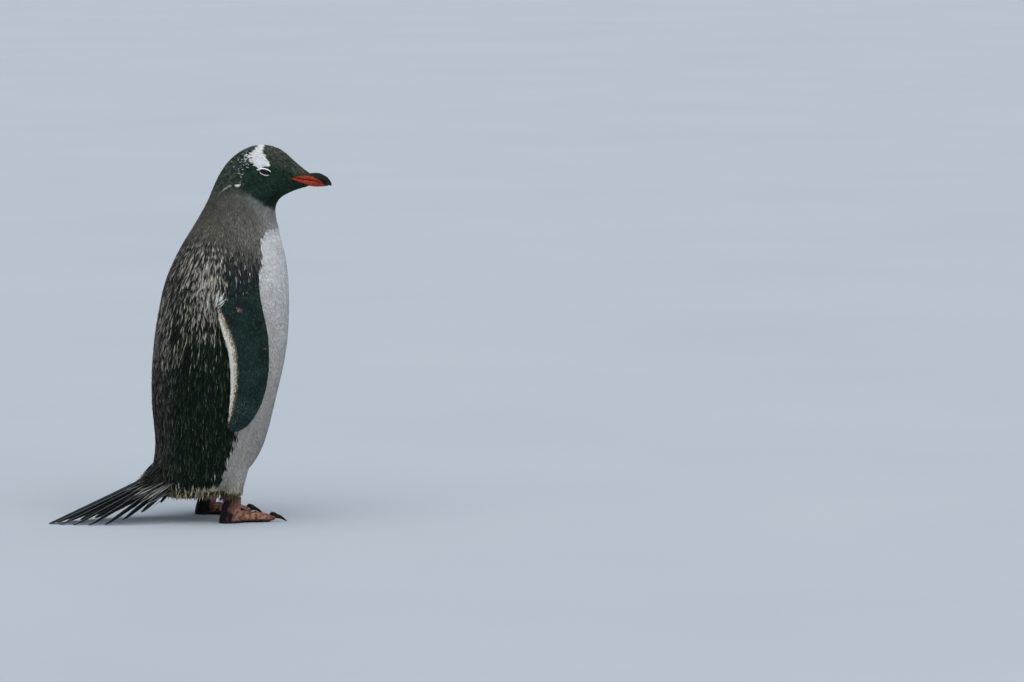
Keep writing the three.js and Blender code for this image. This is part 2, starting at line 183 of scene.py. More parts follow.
bpy.context.scene.view_settings.view_transform = "Standard"
sky = bpy.data.worlds.new("studio")
bpy.context.scene.world = sky
sky.use_nodes = True
sky.node_tree.nodes["Background"].inputs["Color"].default_value = (*linear("dbe4ee"), 1)
sky.node_tree.nodes["Background"].inputs["Strength"].default_value = 0.72


def soft_lamp(name, towards, strength, spread, colour):
    lamp = bpy.data.lights.new(name, "SUN")
    lamp.energy = strength
    lamp.angle = math.radians(spread)
    lamp.color = linear(colour)
    holder = bpy.data.objects.new(name, lamp)
    holder.rotation_euler = Vector(towards).to_track_quat("-Z", "Y").to_euler()
    bpy.context.scene.collection.objects.link(holder)


soft_lamp("overcast", (0.15, 0.35, -1.0), 2.1, 75, "fffaf2")
soft_lamp("window", (-0.6, 0.9, -0.45), 0.8, 60, "f4f8ff")
print("stage and", len(bpy.data.lights), "lamps")

# %% [markdown]
# ## The skin
#
# Under its feathers a penguin is one smooth body. We copy the solids of the flesh, swell them by less
# than a millimetre so that they meet, join them and remesh the whole, which leaves one closed skin.
# The faceted solids leave flat bands on it, so the skin is smoothed, most where the body is broad. Then
# it is sunk under the outline by the depth of the coat, which the feathers build back up.

# %% Helpers for objects
def placed(name, mesh):
    obj = bpy.data.objects.new(name, mesh)
    bpy.context.scene.collection.objects.link(obj)
    return obj


def edited(obj, operator, **settings):
    """Runs one operator on the whole of an object's mesh."""
    pick(obj)
    bpy.ops.object.mode_set(mode="EDIT")
    bpy.ops.mesh.select_all(action="SELECT")
    operator(**settings)
    bpy.ops.object.mode_set(mode="OBJECT")
    return obj


def merged_copy(node, name):
    """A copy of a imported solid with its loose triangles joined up."""
    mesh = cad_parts[node].data.copy()
    mesh.name = name
    mesh.materials.clear()
    return edited(placed(name, mesh), bpy.ops.mesh.remove_doubles, threshold=2e-6)


def apply(obj, kind, **settings):
    """Adds a modifier and applies it at once."""
    pick(obj)
    modifier = obj.modifiers.new(kind.lower(), kind)
    for key, value in settings.items():
        setattr(modifier, key, value)
    bpy.ops.object.modifier_apply(modifier=modifier.name)
    return obj


def join(objects, name):
    deselect()
    for obj in objects:
        obj.select_set(True)
    bpy.context.view_layer.objects.active = objects[0]
    bpy.ops.object.join()
    objects[0].name = name
    return objects[0]


print("the finest solid has", min(len(n.data.polygons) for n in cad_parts.values()), "faces")

# %% [markdown]
# Corners, normals and edges are read and written as arrays, which lets one line move a whole mesh.

# %% Helpers for arrays, and copies of the flesh
SKIN_NODES = ["trunk", "neck", "head", "leg_right", "leg_left"]
FLIPPER_NODES = ["flipper_right", "flipper_left"]


def column(owner, name, width, kind=np.float32):
    """One property of all the vertices, edges or faces, as an array."""
    found = np.empty(len(owner) * width, kind)
    owner.foreach_get(name, found)
    return found.reshape(-1, width) if width > 1 else found


def corners(mesh):
    return column(mesh.vertices, "co", 3).astype(float)


def corner_normals(mesh):
    return column(mesh.vertices, "normal", 3).astype(float)


def edges_of(mesh):
    return column(mesh.edges, "vertices", 2, np.int32)


def fill(owner, name, values, kind=np.float32):
    owner.foreach_set(name, np.asarray(values, kind).ravel())


def set_corners(mesh, points):
    fill(mesh.vertices, "co", points)
    mesh.update()


def painted(mesh, colours):
    """Stores a colour for each corner, where the material of the plumage reads it."""
    layer = mesh.color_attributes.new("Plumage", "FLOAT_COLOR", "POINT")
    fill(layer.data, "color", np.concatenate([colours, np.ones((len(colours), 1))], 1))


flesh_parts = [merged_copy(node, "flesh_" + node) for node in SKIN_NODES]
flesh_parts += [merged_copy(node, "flesh_" + node) for node in ("bill_upper", "bill_lower")]
print("copied", len(flesh_parts), "solids of flesh")

# %% [markdown]
# The bill sits in a pocket of the head. Its root is copied too and cut off where the horn leaves the
# face, so that the skin runs on under it. The tail feathers grow from a small pointed rump, which is
# a ball drawn out and tipped down.

# %% The root of the bill and the rump
FACE_END_X = 183  # where the horn of the bill leaves the feathers, in mm on the drawing
RUMP_HALF = [0.042, 0.031, 0.0125]  # half its length, breadth and height, in metres
RUMP_TIP = math.radians(26)
RUMP_MIDDLE = [-50, 0, 58]  # on the drawing
face_end = to_frame([[FACE_END_X, 0, 512]])[0]
ahead = to_frame([[FACE_END_X + 10, 0, 512]])[0] - face_end
for part in flesh_parts[-2:]:
    edited(part, bpy.ops.mesh.bisect, plane_co=face_end, plane_no=ahead, use_fill=True, clear_outer=True)

deselect()
bpy.ops.mesh.primitive_uv_sphere_add(segments=32, ring_count=16, radius=1, location=(0, 0, 0))
rump = bpy.context.object
along, across, above = (corners(rump.data) * RUMP_HALF).T
rump_points = np.stack([along * math.cos(RUMP_TIP) - above * math.sin(RUMP_TIP), across,
                        along * math.sin(RUMP_TIP) + above * math.cos(RUMP_TIP)], 1)
set_corners(rump.data, rump_points + to_frame([RUMP_MIDDLE])[0])
flesh_parts.append(rump)
print("rump reaches back to", round(corners(rump.data)[:, 0].min(), 3))

# %% One closed skin
SWELL, SKIN_VOXEL = 0.0005, 0.0025
skin = join(flesh_parts, "skin")
apply(skin, "DISPLACE", strength=SWELL, mid_level=0)
outline = BVHTree.FromObject(skin, bpy.context.evaluated_depsgraph_get())
apply(skin, "REMESH", mode="VOXEL", voxel_size=SKIN_VOXEL)
print("skin faces", len(skin.data.polygons))

# %% [markdown]
# Smoothing shrinks a shape, so afterwards each point of the skin is put back at its own distance under
# the outline. That distance is itself smoothed over the skin first, or the flat bands would come back.

# %% Smooth, then sink by the coat's depth
SKIN_SHARE = 0.6  # the blades lie a little proud of the outline, so the skin sinks by less than the coat
SKIN_TURNS, GAP_TURNS = 60, 40  # how often each is evened out


def even_out(values, edges, turns, weight=1.0):
    """Draws each vertex's value towards the mean of its neighbours, turn after turn."""
    count = np.bincount(edges.ravel(), minlength=len(values)).astype(float)
    flat = values.reshape(len(values), -1)
    for _ in range(turns):
        total = np.empty_like(flat)
        for i in range(flat.shape[1]):
            total[:, i] = np.bincount(edges[:, 0], flat[edges[:, 1], i], len(flat))
            total[:, i] += np.bincount(edges[:, 1], flat[edges[:, 0], i], len(flat))
        flat = flat + 0.5 * np.reshape(weight, (-1, 1)) * (total / count[:, None] - flat)
    return flat.reshape(values.shape)


def depth_under(points, tree):
    """How far each point lies outside (+) or inside (-) a surface."""
    found = np.empty(len(points))
    for i, point in enumerate(points):
        place, normal, _, distance = tree.find_nearest(Vector(point))
        inside = (Vector(point) - place).dot(normal) < 0
        found[i] = -distance if inside else distance
    return found


def coat_depth(drawn):
    """The thickness of the coat in mm: short on the face, longest on the back and rump."""
    z = drawn[:, 2]
    body = 2.6 - 1.5 * smoothstep(z, 455, 535)
    muzzle = smoothstep(drawn[:, 0], 150, 175) * smoothstep(z, 470, 490)
    legs = 1 - smoothstep(z, 45, 90)
    return body - 0.5 * muzzle - 0.8 * legs


skin_edges = edges_of(skin.data)
skin_points = corners(skin.data)
drawn = to_drawing(skin_points)
broad = smoothstep(drawn[:, 2], 45, 110) * (1 - 0.72 * smoothstep(drawn[:, 2], 440, 520))
face = smoothstep(drawn[:, 0], 120, 165) * smoothstep(drawn[:, 2], 470, 500)
broad = np.clip(broad * (1 - 0.7 * face), 0.06, 1)
skin_points = even_out(skin_points, skin_edges, SKIN_TURNS, broad)
set_corners(skin.data, skin_points)
normals = corner_normals(skin.data)
gap = even_out(depth_under(skin_points, outline), skin_edges, GAP_TURNS)
sink = SKIN_SHARE * coat_depth(to_drawing(skin_points)) * MM + SWELL + gap
set_corners(skin.data, skin_points - normals * sink[:, None])
print("skin sunk by", round(float(sink.mean()) * 1000, 2), "mm on average")

# %% [markdown]
# A flipper is a thin stiff paddle, so it is remeshed more finely and only a little smoothed. Its root
# is pushed into the shoulder before the two are united, and the skin is one piece from bill to tip.

# %% Flippers joined on at the shoulder
FLIPPER_VOXEL, FLIPPER_SWELL, FLIPPER_FACES = 0.0011, 0.0004, 0.24
ROOT_FROM, ROOT_NEAR, ROOT_PUSH = 0.34, 0.0008, 0.009  # its least height, its gap, and how far in it goes
trunk_wall = BVHTree.FromObject(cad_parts["trunk"], bpy.context.evaluated_depsgraph_get())
flippers = {}
for name, side in SIDES.items():
    flipper = merged_copy("flipper_" + name, "flesh_flipper_" + name)
    points = corners(flipper.data)
    near = np.array([trunk_wall.find_nearest(Vector(p))[3] < ROOT_NEAR for p in points])
    points[near & (points[:, 2] > ROOT_FROM), 1] -= side * ROOT_PUSH
    set_corners(flipper.data, points)
    apply(flipper, "DISPLACE", strength=FLIPPER_SWELL, mid_level=0)
    apply(flipper, "REMESH", mode="VOXEL", voxel_size=FLIPPER_VOXEL)
    points = even_out(corners(flipper.data), edges_of(flipper.data), 10)
    set_corners(flipper.data, points)
    apply(flipper, "DECIMATE", ratio=FLIPPER_FACES)
    flippers[name] = BVHTree.FromObject(flipper, bpy.context.evaluated_depsgraph_get())
    apply(skin, "BOOLEAN", operation="UNION", object=flipper, solver="MANIFOLD")
    bpy.data.objects.remove(flipper)
pick(skin)
bpy.ops.object.shade_smooth()
print("skin with flippers", len(skin.data.polygons), "faces")

# %% Drop stray crumbs and measure
def islands(mesh):
    """The number of the island that each vertex belongs to, the largest first."""
    label = np.arange(len(mesh.vertices))
    edges = edges_of(mesh)
    while True:
        low = np.minimum(label[edges[:, 0]], label[edges[:, 1]])
        before = label.copy()
        np.minimum.at(label, edges[:, 0], low)
        np.minimum.at(label, edges[:, 1], low)
        label = label[label]
        if (label == before).all():
            break
    _, where, count = np.unique(label, return_inverse=True, return_counts=True)
    return np.argsort(np.argsort(-count))[where]


def keep_largest(obj):
    pick(obj)
    number = islands(obj.data)
    bpy.ops.object.mode_set(mode="EDIT")
    bpy.ops.mesh.select_mode(type="VERT")
    bpy.ops.mesh.select_all(action="DESELECT")
    bpy.ops.object.mode_set(mode="OBJECT")
    obj.data.vertices.foreach_set("select", number > 0)
    bpy.ops.object.mode_set(mode="EDIT")
    bpy.ops.mesh.delete(type="VERT")
    bpy.ops.object.mode_set(mode="OBJECT")


keep_largest(skin)
print("skin corners", len(skin.data.vertices), "in one piece")

# %% [markdown]
# ## Markings
#
# A gentoo is dark above and white below, with a white bonnet that runs over the crown from eye to eye,
# and the dark of the head stops in a line round the throat. These markings are written once, as lines
# and outlines on the drawing, and both the skin and the coat ask the same functions for their colours.
# A wandering value with no grid behind it makes the borders and tints uneven, as feathers are.

# %% Uneven values and outlines
def wander(points, size, seed):
    """A smooth value, mostly between -1 and 1, that changes over lengths of about `size`."""
    dice = np.random.default_rng(seed)
    waves = dice.normal(size=(12, 3))
    waves /= np.linalg.norm(waves, axis=1, keepdims=True)
    waves *= 2 * math.pi / (size * dice.uniform(0.7, 1.8, (12, 1)))
    return np.sin(points @ waves.T + dice.uniform(0, 6.28, 12)).sum(1) / 3.5


def within(x, z, outline):
    """How far a point lies inside an outline on the drawing, in mm, and negative outside it."""
    ends = np.array(outline, float)
    starts = np.roll(ends, 1, axis=0)
    place = np.stack([x, z], 1)[:, None, :]
    run = (ends - starts)[None]
    share = np.clip(((place - starts) * run).sum(2) / (run**2).sum(2), 0, 1)
    distance = np.linalg.norm(starts + run * share[..., None] - place, axis=2).min(1)
    crosses = (starts[:, 1] > z[:, None]) != (ends[:, 1] > z[:, None])
    rise = np.where(ends[:, 1] == starts[:, 1], 1e-9, ends[:, 1] - starts[:, 1])
    at = starts[:, 0] + (z[:, None] - starts[:, 1]) / rise * (ends[:, 0] - starts[:, 0])
    odd = (crosses & (x[:, None] < at)).sum(1) % 2 == 1
    return np.where(odd, distance, -distance)


def spot(x, z, at, wide, high):
    """A soft round spot on the drawing, 1 at its middle and fading over its breadth and height."""
    return np.exp(-(((x - at[0]) / wide) ** 2) - ((z - at[1]) / high) ** 2)


def blend(a, b, share):
    share = np.reshape(np.clip(share, 0, 1), (-1, 1))
    return a * (1 - share) + b * share


def over(coat, share, *paint):
    """The colours of a feather, from its ground to its tip, blended with one new colour or with one each."""
    paint = paint if len(paint) == len(coat) else paint * len(coat)
    return tuple(blend(old, new, share) for old, new in zip(coat, paint))


print("wander sample", np.round(wander(np.zeros((1, 3)), 10, 1), 2))

# %% The lines of the markings
# The edge of the white front on the bird's side, as x for each height z.
FRONT_EDGE_Z = [30, 56, 76, 92, 111, 127, 141, 165, 250, 330, 375, 394, 429, 432, 439, 442]
FRONT_EDGE_X = [25, 29, 32, 35, 41, 46, 49, 56, 72, 82, 90, 95, 99, 105, 110, 128]
WHITE_TOP_Z = 442
# The line where the dark head meets the grey-brown neck, as z for each x.
HOOD_X = [30, 45, 60, 72, 80, 86, 92, 98, 106, 115, 123, 130, 150]
HOOD_Z = [503, 497, 496, 498, 497.5, 496, 493.5, 489.5, 483, 477, 472.5, 470, 468]
BONNET = [(110, 570), (117.5, 570), (112.5, 556), (116, 548.5), (122, 541.5), (121, 532), (117, 528),
          (108, 528), (102, 534.5), (94, 541.5), (89, 551.5), (97.5, 556), (104, 562)]
EAR_SPOT = [(68.5, 506.2), (71, 509.2), (75.5, 509.5), (77.5, 513.5), (78, 508), (76.5, 505.4), (71.5, 504.6)]
PALE_THREAD = [(66, 507.6), (58, 503.0), (47, 495.0), (46, 495.8), (56, 504), (62, 508.3)]
EYE = np.array([114.0, 527.0])
LID_HALF = (9.2, 4.8)
LID_TILT = math.radians(-17)


def white_front(drawn, rough=2.5):
    """Positive, in mm, where the white of the front is, with an uneven edge."""
    x, _, z = drawn.T
    across = x - np.interp(z, FRONT_EDGE_Z, FRONT_EDGE_X) + rough * wander(drawn, 9, 11)
    below = WHITE_TOP_Z - z + rough * wander(drawn, 6, 12)
    return np.minimum(across, below)


def bonnet(drawn):
    x, _, z = drawn.T
    return within(x, z, BONNET) + 0.7 * wander(drawn, 3.5, 13)


def speckles(drawn):
    """The chance of a white feather in the sprinkling behind the bonnet."""
    x, _, z = drawn.T
    near = spot(x, z, (88, 546), 6, 8)
    trail = 0.20 * spot(x, z, (77, 528), 6, 15)
    stray = 0.04 * spot(x, z, (76, 540), 12, 14)
    return np.clip(0.42 * near + trail + stray - 0.01, 0, 0.9)


def gaps(drawn):
    """The chance of a dark feather among the white ones at the rear of the bonnet."""
    x, _, z = drawn.T
    return 0.34 * spot(x, z, (92, 548), 5, 7)


def hood(drawn):
    """1 on the dark head, 0 on the neck, sharper at the throat than at the nape."""
    x, _, z = drawn.T
    line = np.interp(x, HOOD_X, HOOD_Z)
    soft = 8 + 20 * smoothstep(-x, -95, -40)
    return smoothstep(z - line + 1.5 * wander(drawn, 8, 14), -soft * 0.5, soft * 0.5)


def eye_axes(drawn):
    """How far places lie from the middle of the eye, along its lids and across them."""
    dx, dz = drawn[:, 0] - EYE[0], drawn[:, 2] - EYE[1]
    along = dx * math.cos(LID_TILT) + dz * math.sin(LID_TILT)
    return along, -dx * math.sin(LID_TILT) + dz * math.cos(LID_TILT)


def round_eye(drawn):
    """Distance from the middle of the eye, where 1 is the ring of the lids."""
    along, across = eye_axes(drawn)
    return np.hypot(along / LID_HALF[0], across / LID_HALF[1])


print("the bonnet is", round(float(within(np.array([108.0]), np.array([545.0]), BONNET)[0]), 1), "mm deep")

# %% [markdown]
# The coat's colours come in three: the ground of a feather, its worn fringe and its tip. Old feathers
# on the upper back have faded to beige at their edges, those low on the flank are still blackish green.

# %% Colours of the body plumage
PALETTE = {
    "flank": linear("051511"),
    "back": linear("131d1a"),
    "hood": linear("1e332c"),
    "crown": linear("4c5248"),
    "nape": linear("5c5b52"),
    "neck": linear("6c6b66"),
    "throat": linear("9a9998"),
    "shoulder": linear("15262a"),
    "moss": linear("6a8a5a"),
    "beige": linear("ddd3c4"),
    "chalk": linear("f7f4ee"),
    "white": linear("f4f6fb"),
    "breast_top_lit": linear("e0e1e1"),
    "front": linear("cccbc9"),
    "front_low_shaded": linear("a4a19a"),
    "cream": linear("c9bb98"),
    "straw": linear("8f8467"),
}
print("palette of", len(PALETTE), "tones")

# %% [markdown]
# Wear follows places on the body, and old feathers gather in long stripes. Over the root of the flipper
# the feathers are fresh and bluish, and round the foot of the flanks the pale hem has teeth.

# %% Where the coat is worn, striped or toothed
def wear(drawn):
    """How faded the feathers are: most on the upper back behind the flipper, little low on the flank."""
    x, _, z = drawn.T
    upper = 0.76 * spot(x, z, (16, 368), 36, 54)
    middle = 0.27 * spot(x, z, (4, 300), 42, 42)
    height = smoothstep(z, 180, 250) * smoothstep(-z, -400, -330)
    edge = 0.46 * smoothstep(-x, 22, 50) * (0.45 + 0.55 * height)
    return np.clip(0.09 + upper + middle + edge, 0, 0.95) * (1 - 0.93 * shoulder_patch(drawn))


def shoulder_patch(drawn):
    """1 in the dark blue-green patch over the root of the flipper."""
    x, _, z = drawn.T
    spread = ((x - 70) / 26) ** 2 + (np.where(z > 360, z - 360, 0.5 * z - 180) / 46) ** 2
    return smoothstep(-spread - 0.5 * wander(drawn, 14, 46) - 0.6 * stripes(drawn), -3.3, -0.2)


def stripes(drawn):
    """Long wavy stripes down the back, mostly between -1 and 1, in which old and new feathers gather."""
    x, y, z = drawn.T
    sway = 6 * wander(drawn * [1, 1, 0.8], 70, 43)
    broad = wander(np.stack([x + sway, y, 0.12 * z], 1), 3.4, 44)
    return 0.75 * broad + 0.5 * wander(np.stack([x + sway, y, 0.14 * z], 1), 2.0, 45)


def hem_tooth(drawn):
    """A row of pointed teeth round the foot of the flanks, 0 between them and 1 at their tips."""
    around = np.arctan2(drawn[:, 1], drawn[:, 0] + 12) * 62
    turn = (around + 2.2 * wander(drawn * [1, 1, 0], 16, 25)) / 8.2
    return np.abs(2 * (turn - np.floor(turn)) - 1) ** 1.5 * (0.80 + 0.35 * wander(drawn * [1, 1, 0], 11, 24))


print("wear on the upper back", round(float(wear(np.array([[16.0, -60, 368]]))[0]), 2))

# %% The dark of back, neck and head
def dark_coat(drawn, dice):
    """Ground and faded colour of the back and flanks, and how far each feather has faded."""
    n = len(drawn)
    x, _, z = drawn.T
    dark = blend(PALETTE["flank"], PALETTE["back"], smoothstep(z, 250, 380) + smoothstep(-x, 20, 50) * 0.6)
    dark = blend(dark, PALETTE["shoulder"], shoulder_patch(drawn))
    worn, lines = wear(drawn), stripes(drawn)
    dark = dark * (1 - 0.35 * worn * (lines < -0.1))[:, None]
    old = lines + 0.42 * dice.normal(0, 1, n) > 2.3 * (0.67 - worn)
    streak = dice.random(n) < 0.26 * (1 - 0.6 * shoulder_patch(drawn))
    low = smoothstep(-z, -330, -230)
    thin = dice.uniform(0.15, 0.45, n) + 0.4 * low * dice.random(n)
    fade = np.where(old, dice.uniform(0.28, 0.95, n), np.where(streak, thin, 0.04))
    dark = blend(dark, PALETTE["beige"], 0.5 * (old & (z > 235)) * fade)
    warm = smoothstep(z, 240, 350) + smoothstep(-x, 30, 50) + dice.normal(0, 0.2, n)
    pale = blend(PALETTE["moss"], PALETTE["beige"], warm)
    pale = blend(pale, PALETTE["chalk"], (dice.random(n) < 0.7 * worn) * 0.9)
    return dark, pale, fade


def grey_neck(drawn):
    """The neck: dusky at the nape, lighter towards the throat, with a bluish bloom under the cheek."""
    x, _, z = drawn.T
    grey = blend(PALETTE["nape"], PALETTE["neck"], smoothstep(x + 0.25 * (z - 440), 45, 85))
    grey = blend(grey, PALETTE["throat"], smoothstep(x + 0.25 * (z - 460), 88, 118))
    grey = blend(grey, linear("77827f"), 0.55 * spot(x, z, (98, 480), 14, 8))
    return grey * (1 + 0.10 * wander(drawn, 14, 26))[:, None]


def dark_head(drawn, dice):
    """Greenish black below, browner and lighter over the crown and forehead, partly as a painted sheen of the
    light from above, all of it mottled.
    """
    n = len(drawn)
    x, _, z = drawn.T
    # painted sheen: the crown and forehead are painted lighter where the light from above falls on them, with
    # a browner tone as well
    crown = smoothstep(z + 0.32 * (x - 110) - 3 * wander(drawn, 9, 23), 533, 562)
    crown = crown + smoothstep(-x, -92, -60) * 0.5 + 0.6 * spot(x, z, (170, 528), 13, 7)
    cap = blend(PALETTE["hood"], PALETTE["crown"], crown)
    chin = smoothstep(x, 95, 120) * smoothstep(-z, -505, -480)
    cap = cap * (1 - 0.4 * chin)[:, None]
    mottled = 1 + 0.36 * wander(drawn, 6, 21) + 0.18 * wander(drawn, 2.6, 27)
    cap = cap * np.clip(mottled, 0.3, 2.2)[:, None]
    lit = (dice.random(n) < 0.25) * dice.uniform(0.1, 0.45, n)
    return cap, blend(cap, blend(PALETTE["moss"], PALETTE["beige"], crown), lit)


print("the neck is", np.round(grey_neck(np.array([[60.0, -40, 450]]))[0], 2))

# %% The white of head and front
def white_marks(drawn, head, dice):
    """How white each feather of the head is, and which of them are flecks by themselves."""
    n = len(drawn)
    x, _, z = drawn.T
    deep = bonnet(drawn)
    in_spot, thread = within(x, z, EAR_SPOT), within(x, z, PALE_THREAD)
    fleck = (dice.random(n) < speckles(drawn)) & (head > 0.5)
    ring = (round_eye(drawn) < 1.28) & (round_eye(drawn) > 0.9) & (deep > -1.5)
    snow = np.where(((deep > 0) & (dice.random(n) > gaps(drawn))) | (in_spot > 0.5) | ring, 1.0, 0.0)
    broken = np.where((thread > -0.2) & (dice.random(n) < 0.6), 0.35, 0.0)
    snow = np.maximum(np.maximum(snow, broken), fleck * 0.92)
    return snow, fleck & (deep <= 0)


def pale_front(drawn, dice):
    """The pearly white of the front, painted darker towards the bottom as shade and lighter on the breast as
    top light, its stained edges, and the cream of the hem and the vent.
    """
    n = len(drawn)
    x, y, z = drawn.T
    # painted shade and light: the front is painted darker towards the bottom, where the belly turns under,
    # and lighter on the breast, which faces the light from above; stains are also commoner low down
    low = smoothstep(-z, -330, -60)
    pearl = blend(PALETTE["front"], PALETTE["front_low_shaded"], low)
    pearl = blend(pearl, PALETTE["breast_top_lit"], smoothstep(z, 290, 410))
    slanted = np.stack([x - 0.35 * z, y, 0.16 * z], 1)
    pearl = pearl * (1 + 0.05 * wander(slanted, 8, 22) + 0.035 * wander(slanted, 3, 28))[:, None]
    pearl = pearl * (1 + 0.26 * smoothstep(-z, -120, -80))[:, None]
    stained = np.where(dice.random(n) < 0.06 + 0.16 * low, dice.uniform(0.1, 0.35, n), 0)
    stain = blend(pearl, PALETTE["straw"], stained)
    pearl = blend(pearl, PALETTE["cream"], 0.35 * smoothstep(-z, -62, -44))
    dusk = smoothstep(-z - 4 * wander(drawn, 7, 30), -66, -42) * dice.uniform(0.4, 1.0, n)
    cream = blend(PALETTE["cream"], PALETTE["front"], dice.uniform(0, 0.6, n))
    cream = blend(cream, PALETTE["straw"], dusk)
    return blend(pearl, PALETTE["straw"], dusk * 0.8), blend(stain, linear("4d4634"), dusk * 0.9), cream


print("the front is", np.round(pale_front(np.array([[110.0, -20, 250]]), np.random.default_rng(0))[0][0], 2))

# %% [markdown]
# All of it comes together in the order in which a painter would lay it: the dark coat first, then the
# neck, the head with its white marks, and last the white front with the cream hem.

# %% The colours of a body feather
def paint_body(drawn, normals, dice):
    """Ground, fringe and tip colours of the feathers that show here, and which are white flecks."""
    n = len(drawn)
    x, _, z = drawn.T
    tone = dice.normal(0, 1, n)
    ground, pale, fade = dark_coat(drawn, dice)
    coat = (ground, blend(ground, pale, fade), blend(ground, pale, fade * 1.1))
    neck = smoothstep(z + 0.35 * x + 4 * wander(drawn, 12, 29) + 9 * dice.normal(0, 1, n), 402, 456)
    grey = grey_neck(drawn)
    light = blend(grey, PALETTE["beige"], 0.30 * dice.uniform(0, 1, n) * smoothstep(-z, -480, -430))
    coat = over(coat, neck, grey * 0.85, light, light)

    head = hood(drawn)
    cap, lit = dark_head(drawn, dice)
    coat = over(coat, head, cap, lit, lit)
    snow, fleck = white_marks(drawn, head, dice)
    coat = over(coat, snow, PALETTE["white"])

    front = white_front(drawn) > 0
    vent = (normals[:, 2] < -0.6) & (z < 60)
    tooth = hem_tooth(drawn)
    hem = ~front & (x > -46) & (z < 41 + 28 * tooth) & (tooth > 0.3)
    pearl, stain, cream = pale_front(drawn, dice)
    coat = over(coat, front * 1.0, pearl, stain * 0.97, stain)
    coat = over(coat, ((vent & ~front) | hem) * 1.0, cream, cream * 0.97, cream)
    calm = front | vent | hem | (snow > 0.9)
    shade = (1 + np.where(calm, 0.02, 0.18) * tone)[:, None]
    return (*(np.clip(c * shade, 0.002, 0.95) for c in coat), fleck)


sample = paint_body(np.array([[0.0, -60, 300]]), np.array([[0, -1.0, 0]]), np.random.default_rng(0))
print("a feather of the back, from ground to tip", [np.round(c[0], 2).tolist() for c in sample[:3]])

# %% [markdown]
# The flippers are blackish green outside with a white rear edge, and a thin fringe of brown hairs
# lies between the two. Inside they are white with a dark front edge and a dark tip.

# %% Colours of the flippers
EDGE_Z = [144, 146, 150, 154, 172, 200, 232, 270, 300, 327, 348, 364, 380, 392]
LEAD_X = [45, 52, 61, 68, 83, 95.5, 100.6, 101.2, 97.8, 91, 88.5, 88, 90, 91]
TRAIL_X = [38, 35, 33, 32.2, 34.6, 37, 37.6, 33.8, 24.5, 20.8, 27, 37, 48, 48]
BAND_Z = [146, 155, 170, 192, 214, 252, 274, 296, 314, 330, 340]
BAND_MM = [0, 1.8, 4.6, 7.4, 9.9, 12.2, 12.6, 12.4, 8.8, 4.0, 1.0]
SHEEN_LINE_STEP = 5.0  # between the painted sheen lines near the tip, pale slanted rows where the light catches the feathers, in mm


def on_flipper(drawn):
    """How far a place lies in front of the rear edge and behind the front edge, in mm."""
    x, _, z = drawn.T
    return x - np.interp(z, EDGE_Z, TRAIL_X), np.interp(z, EDGE_Z, LEAD_X) - x


def in_fringe(drawn):
    """True just in front of the white band, where thin brown hairs lie over it."""
    from_rear, _ = on_flipper(drawn)
    band = np.interp(drawn[:, 2], BAND_Z, BAND_MM)
    return (from_rear > band - 0.6) & (from_rear < band + 2.4) & (band > 1.5)


def paint_flipper(drawn, normals, dice):
    n = len(drawn)
    from_rear, from_front = on_flipper(drawn)
    x, _, z = drawn.T
    outer = normals[:, 1] * np.sign(drawn[:, 1]) > -0.15
    tone = 1 + 0.08 * dice.normal(0, 1, n) + 0.14 * wander(drawn, 22, 31)
    dark = blend(linear("10211f"), linear("193030"), 0.5 + 0.5 * wander(drawn, 35, 32)) * tone[:, None]
    lit = blend(dark, linear("4d5f5c"), dice.random(n) ** 5)
    # painted sheen: pale slanted lines in two soft spots near the tip, highlights where the light catches the
    # rows of feathers
    rows = np.sin((z - 0.55 * x) * 2 * math.pi / SHEEN_LINE_STEP) > 0.72
    worn = spot(x, z, (54, 183), 11, 15) + spot(x, z, (45, 166), 4, 5)
    lit = blend(lit, linear("7f8f88"), rows * np.clip(worn - 0.3 * dice.random(n), 0, 0.65))
    band = np.interp(z, BAND_Z, BAND_MM) + 0.5 * wander(drawn, 4, 33)
    white = outer & (from_rear < band)
    inside = ~outer & (from_front > 9 + 3 * wander(drawn, 12, 34)) & (z > 176) & (z < 345)
    sore = spot(x, z, (54.5, 327.5), 4.5, 3.0) + 0.7 * spot(x, z, (93, 269), 2, 2.2)
    pale = linear("dedbd2") * (1 + 0.04 * dice.normal(0, 1, n))[:, None]
    brown = blend(dark, linear("97805f"), dice.uniform(0.1, 0.9, n))
    pink = np.clip(sore * 1.3 - 0.6 * dice.random(n), 0, 0.8)
    healing = np.where((dice.random(n) < 0.4)[:, None], linear("d2c6bd"), linear("95685c"))
    coat = over((dark, lit), pink, healing)
    coat = over(coat, (white | inside) * 1.0, pale)
    coat = over(coat, (outer & in_fringe(drawn)) * 1.0, brown)
    ground, tip = (np.clip(c, 0.002, 0.95) for c in coat)
    return ground, tip, tip


print("flipper tones at", len(EDGE_Z), "heights")

# %% [markdown]
# ## The lie of the coat
#
# Feathers point away from the bill, back over the head, down the neck and body and along the flippers,
# and at the rump they turn towards the tail. The lie is a direction for each place; it is laid flat on
# the skin there, and small uneven turns let neighbours fork and gather as worn feathers do.

# %% Which way the feathers point
BILL_ROOT = np.array([180.0, 0.0, 513.0])


def unit(vectors):
    return vectors / np.maximum(np.linalg.norm(vectors, axis=-1, keepdims=True), 1e-9)


def lie_of_body(drawn):
    x, _, z = drawn.T
    head = unit(drawn - BILL_ROOT)
    down = np.stack([0 * x - 0.03, 0 * x, 0 * x - 1], 1)
    tailward = np.stack([0 * x - 1, 0 * x, 0 * x - 0.45], 1)
    rear = smoothstep(-x, 20, 62) * smoothstep(-z, -118, -70)
    under = 0.75 * smoothstep(-z, -62, -40)
    way = blend(down, head, smoothstep(z, 455, 520))
    return unit(blend(way, tailward, np.maximum(rear, under)))


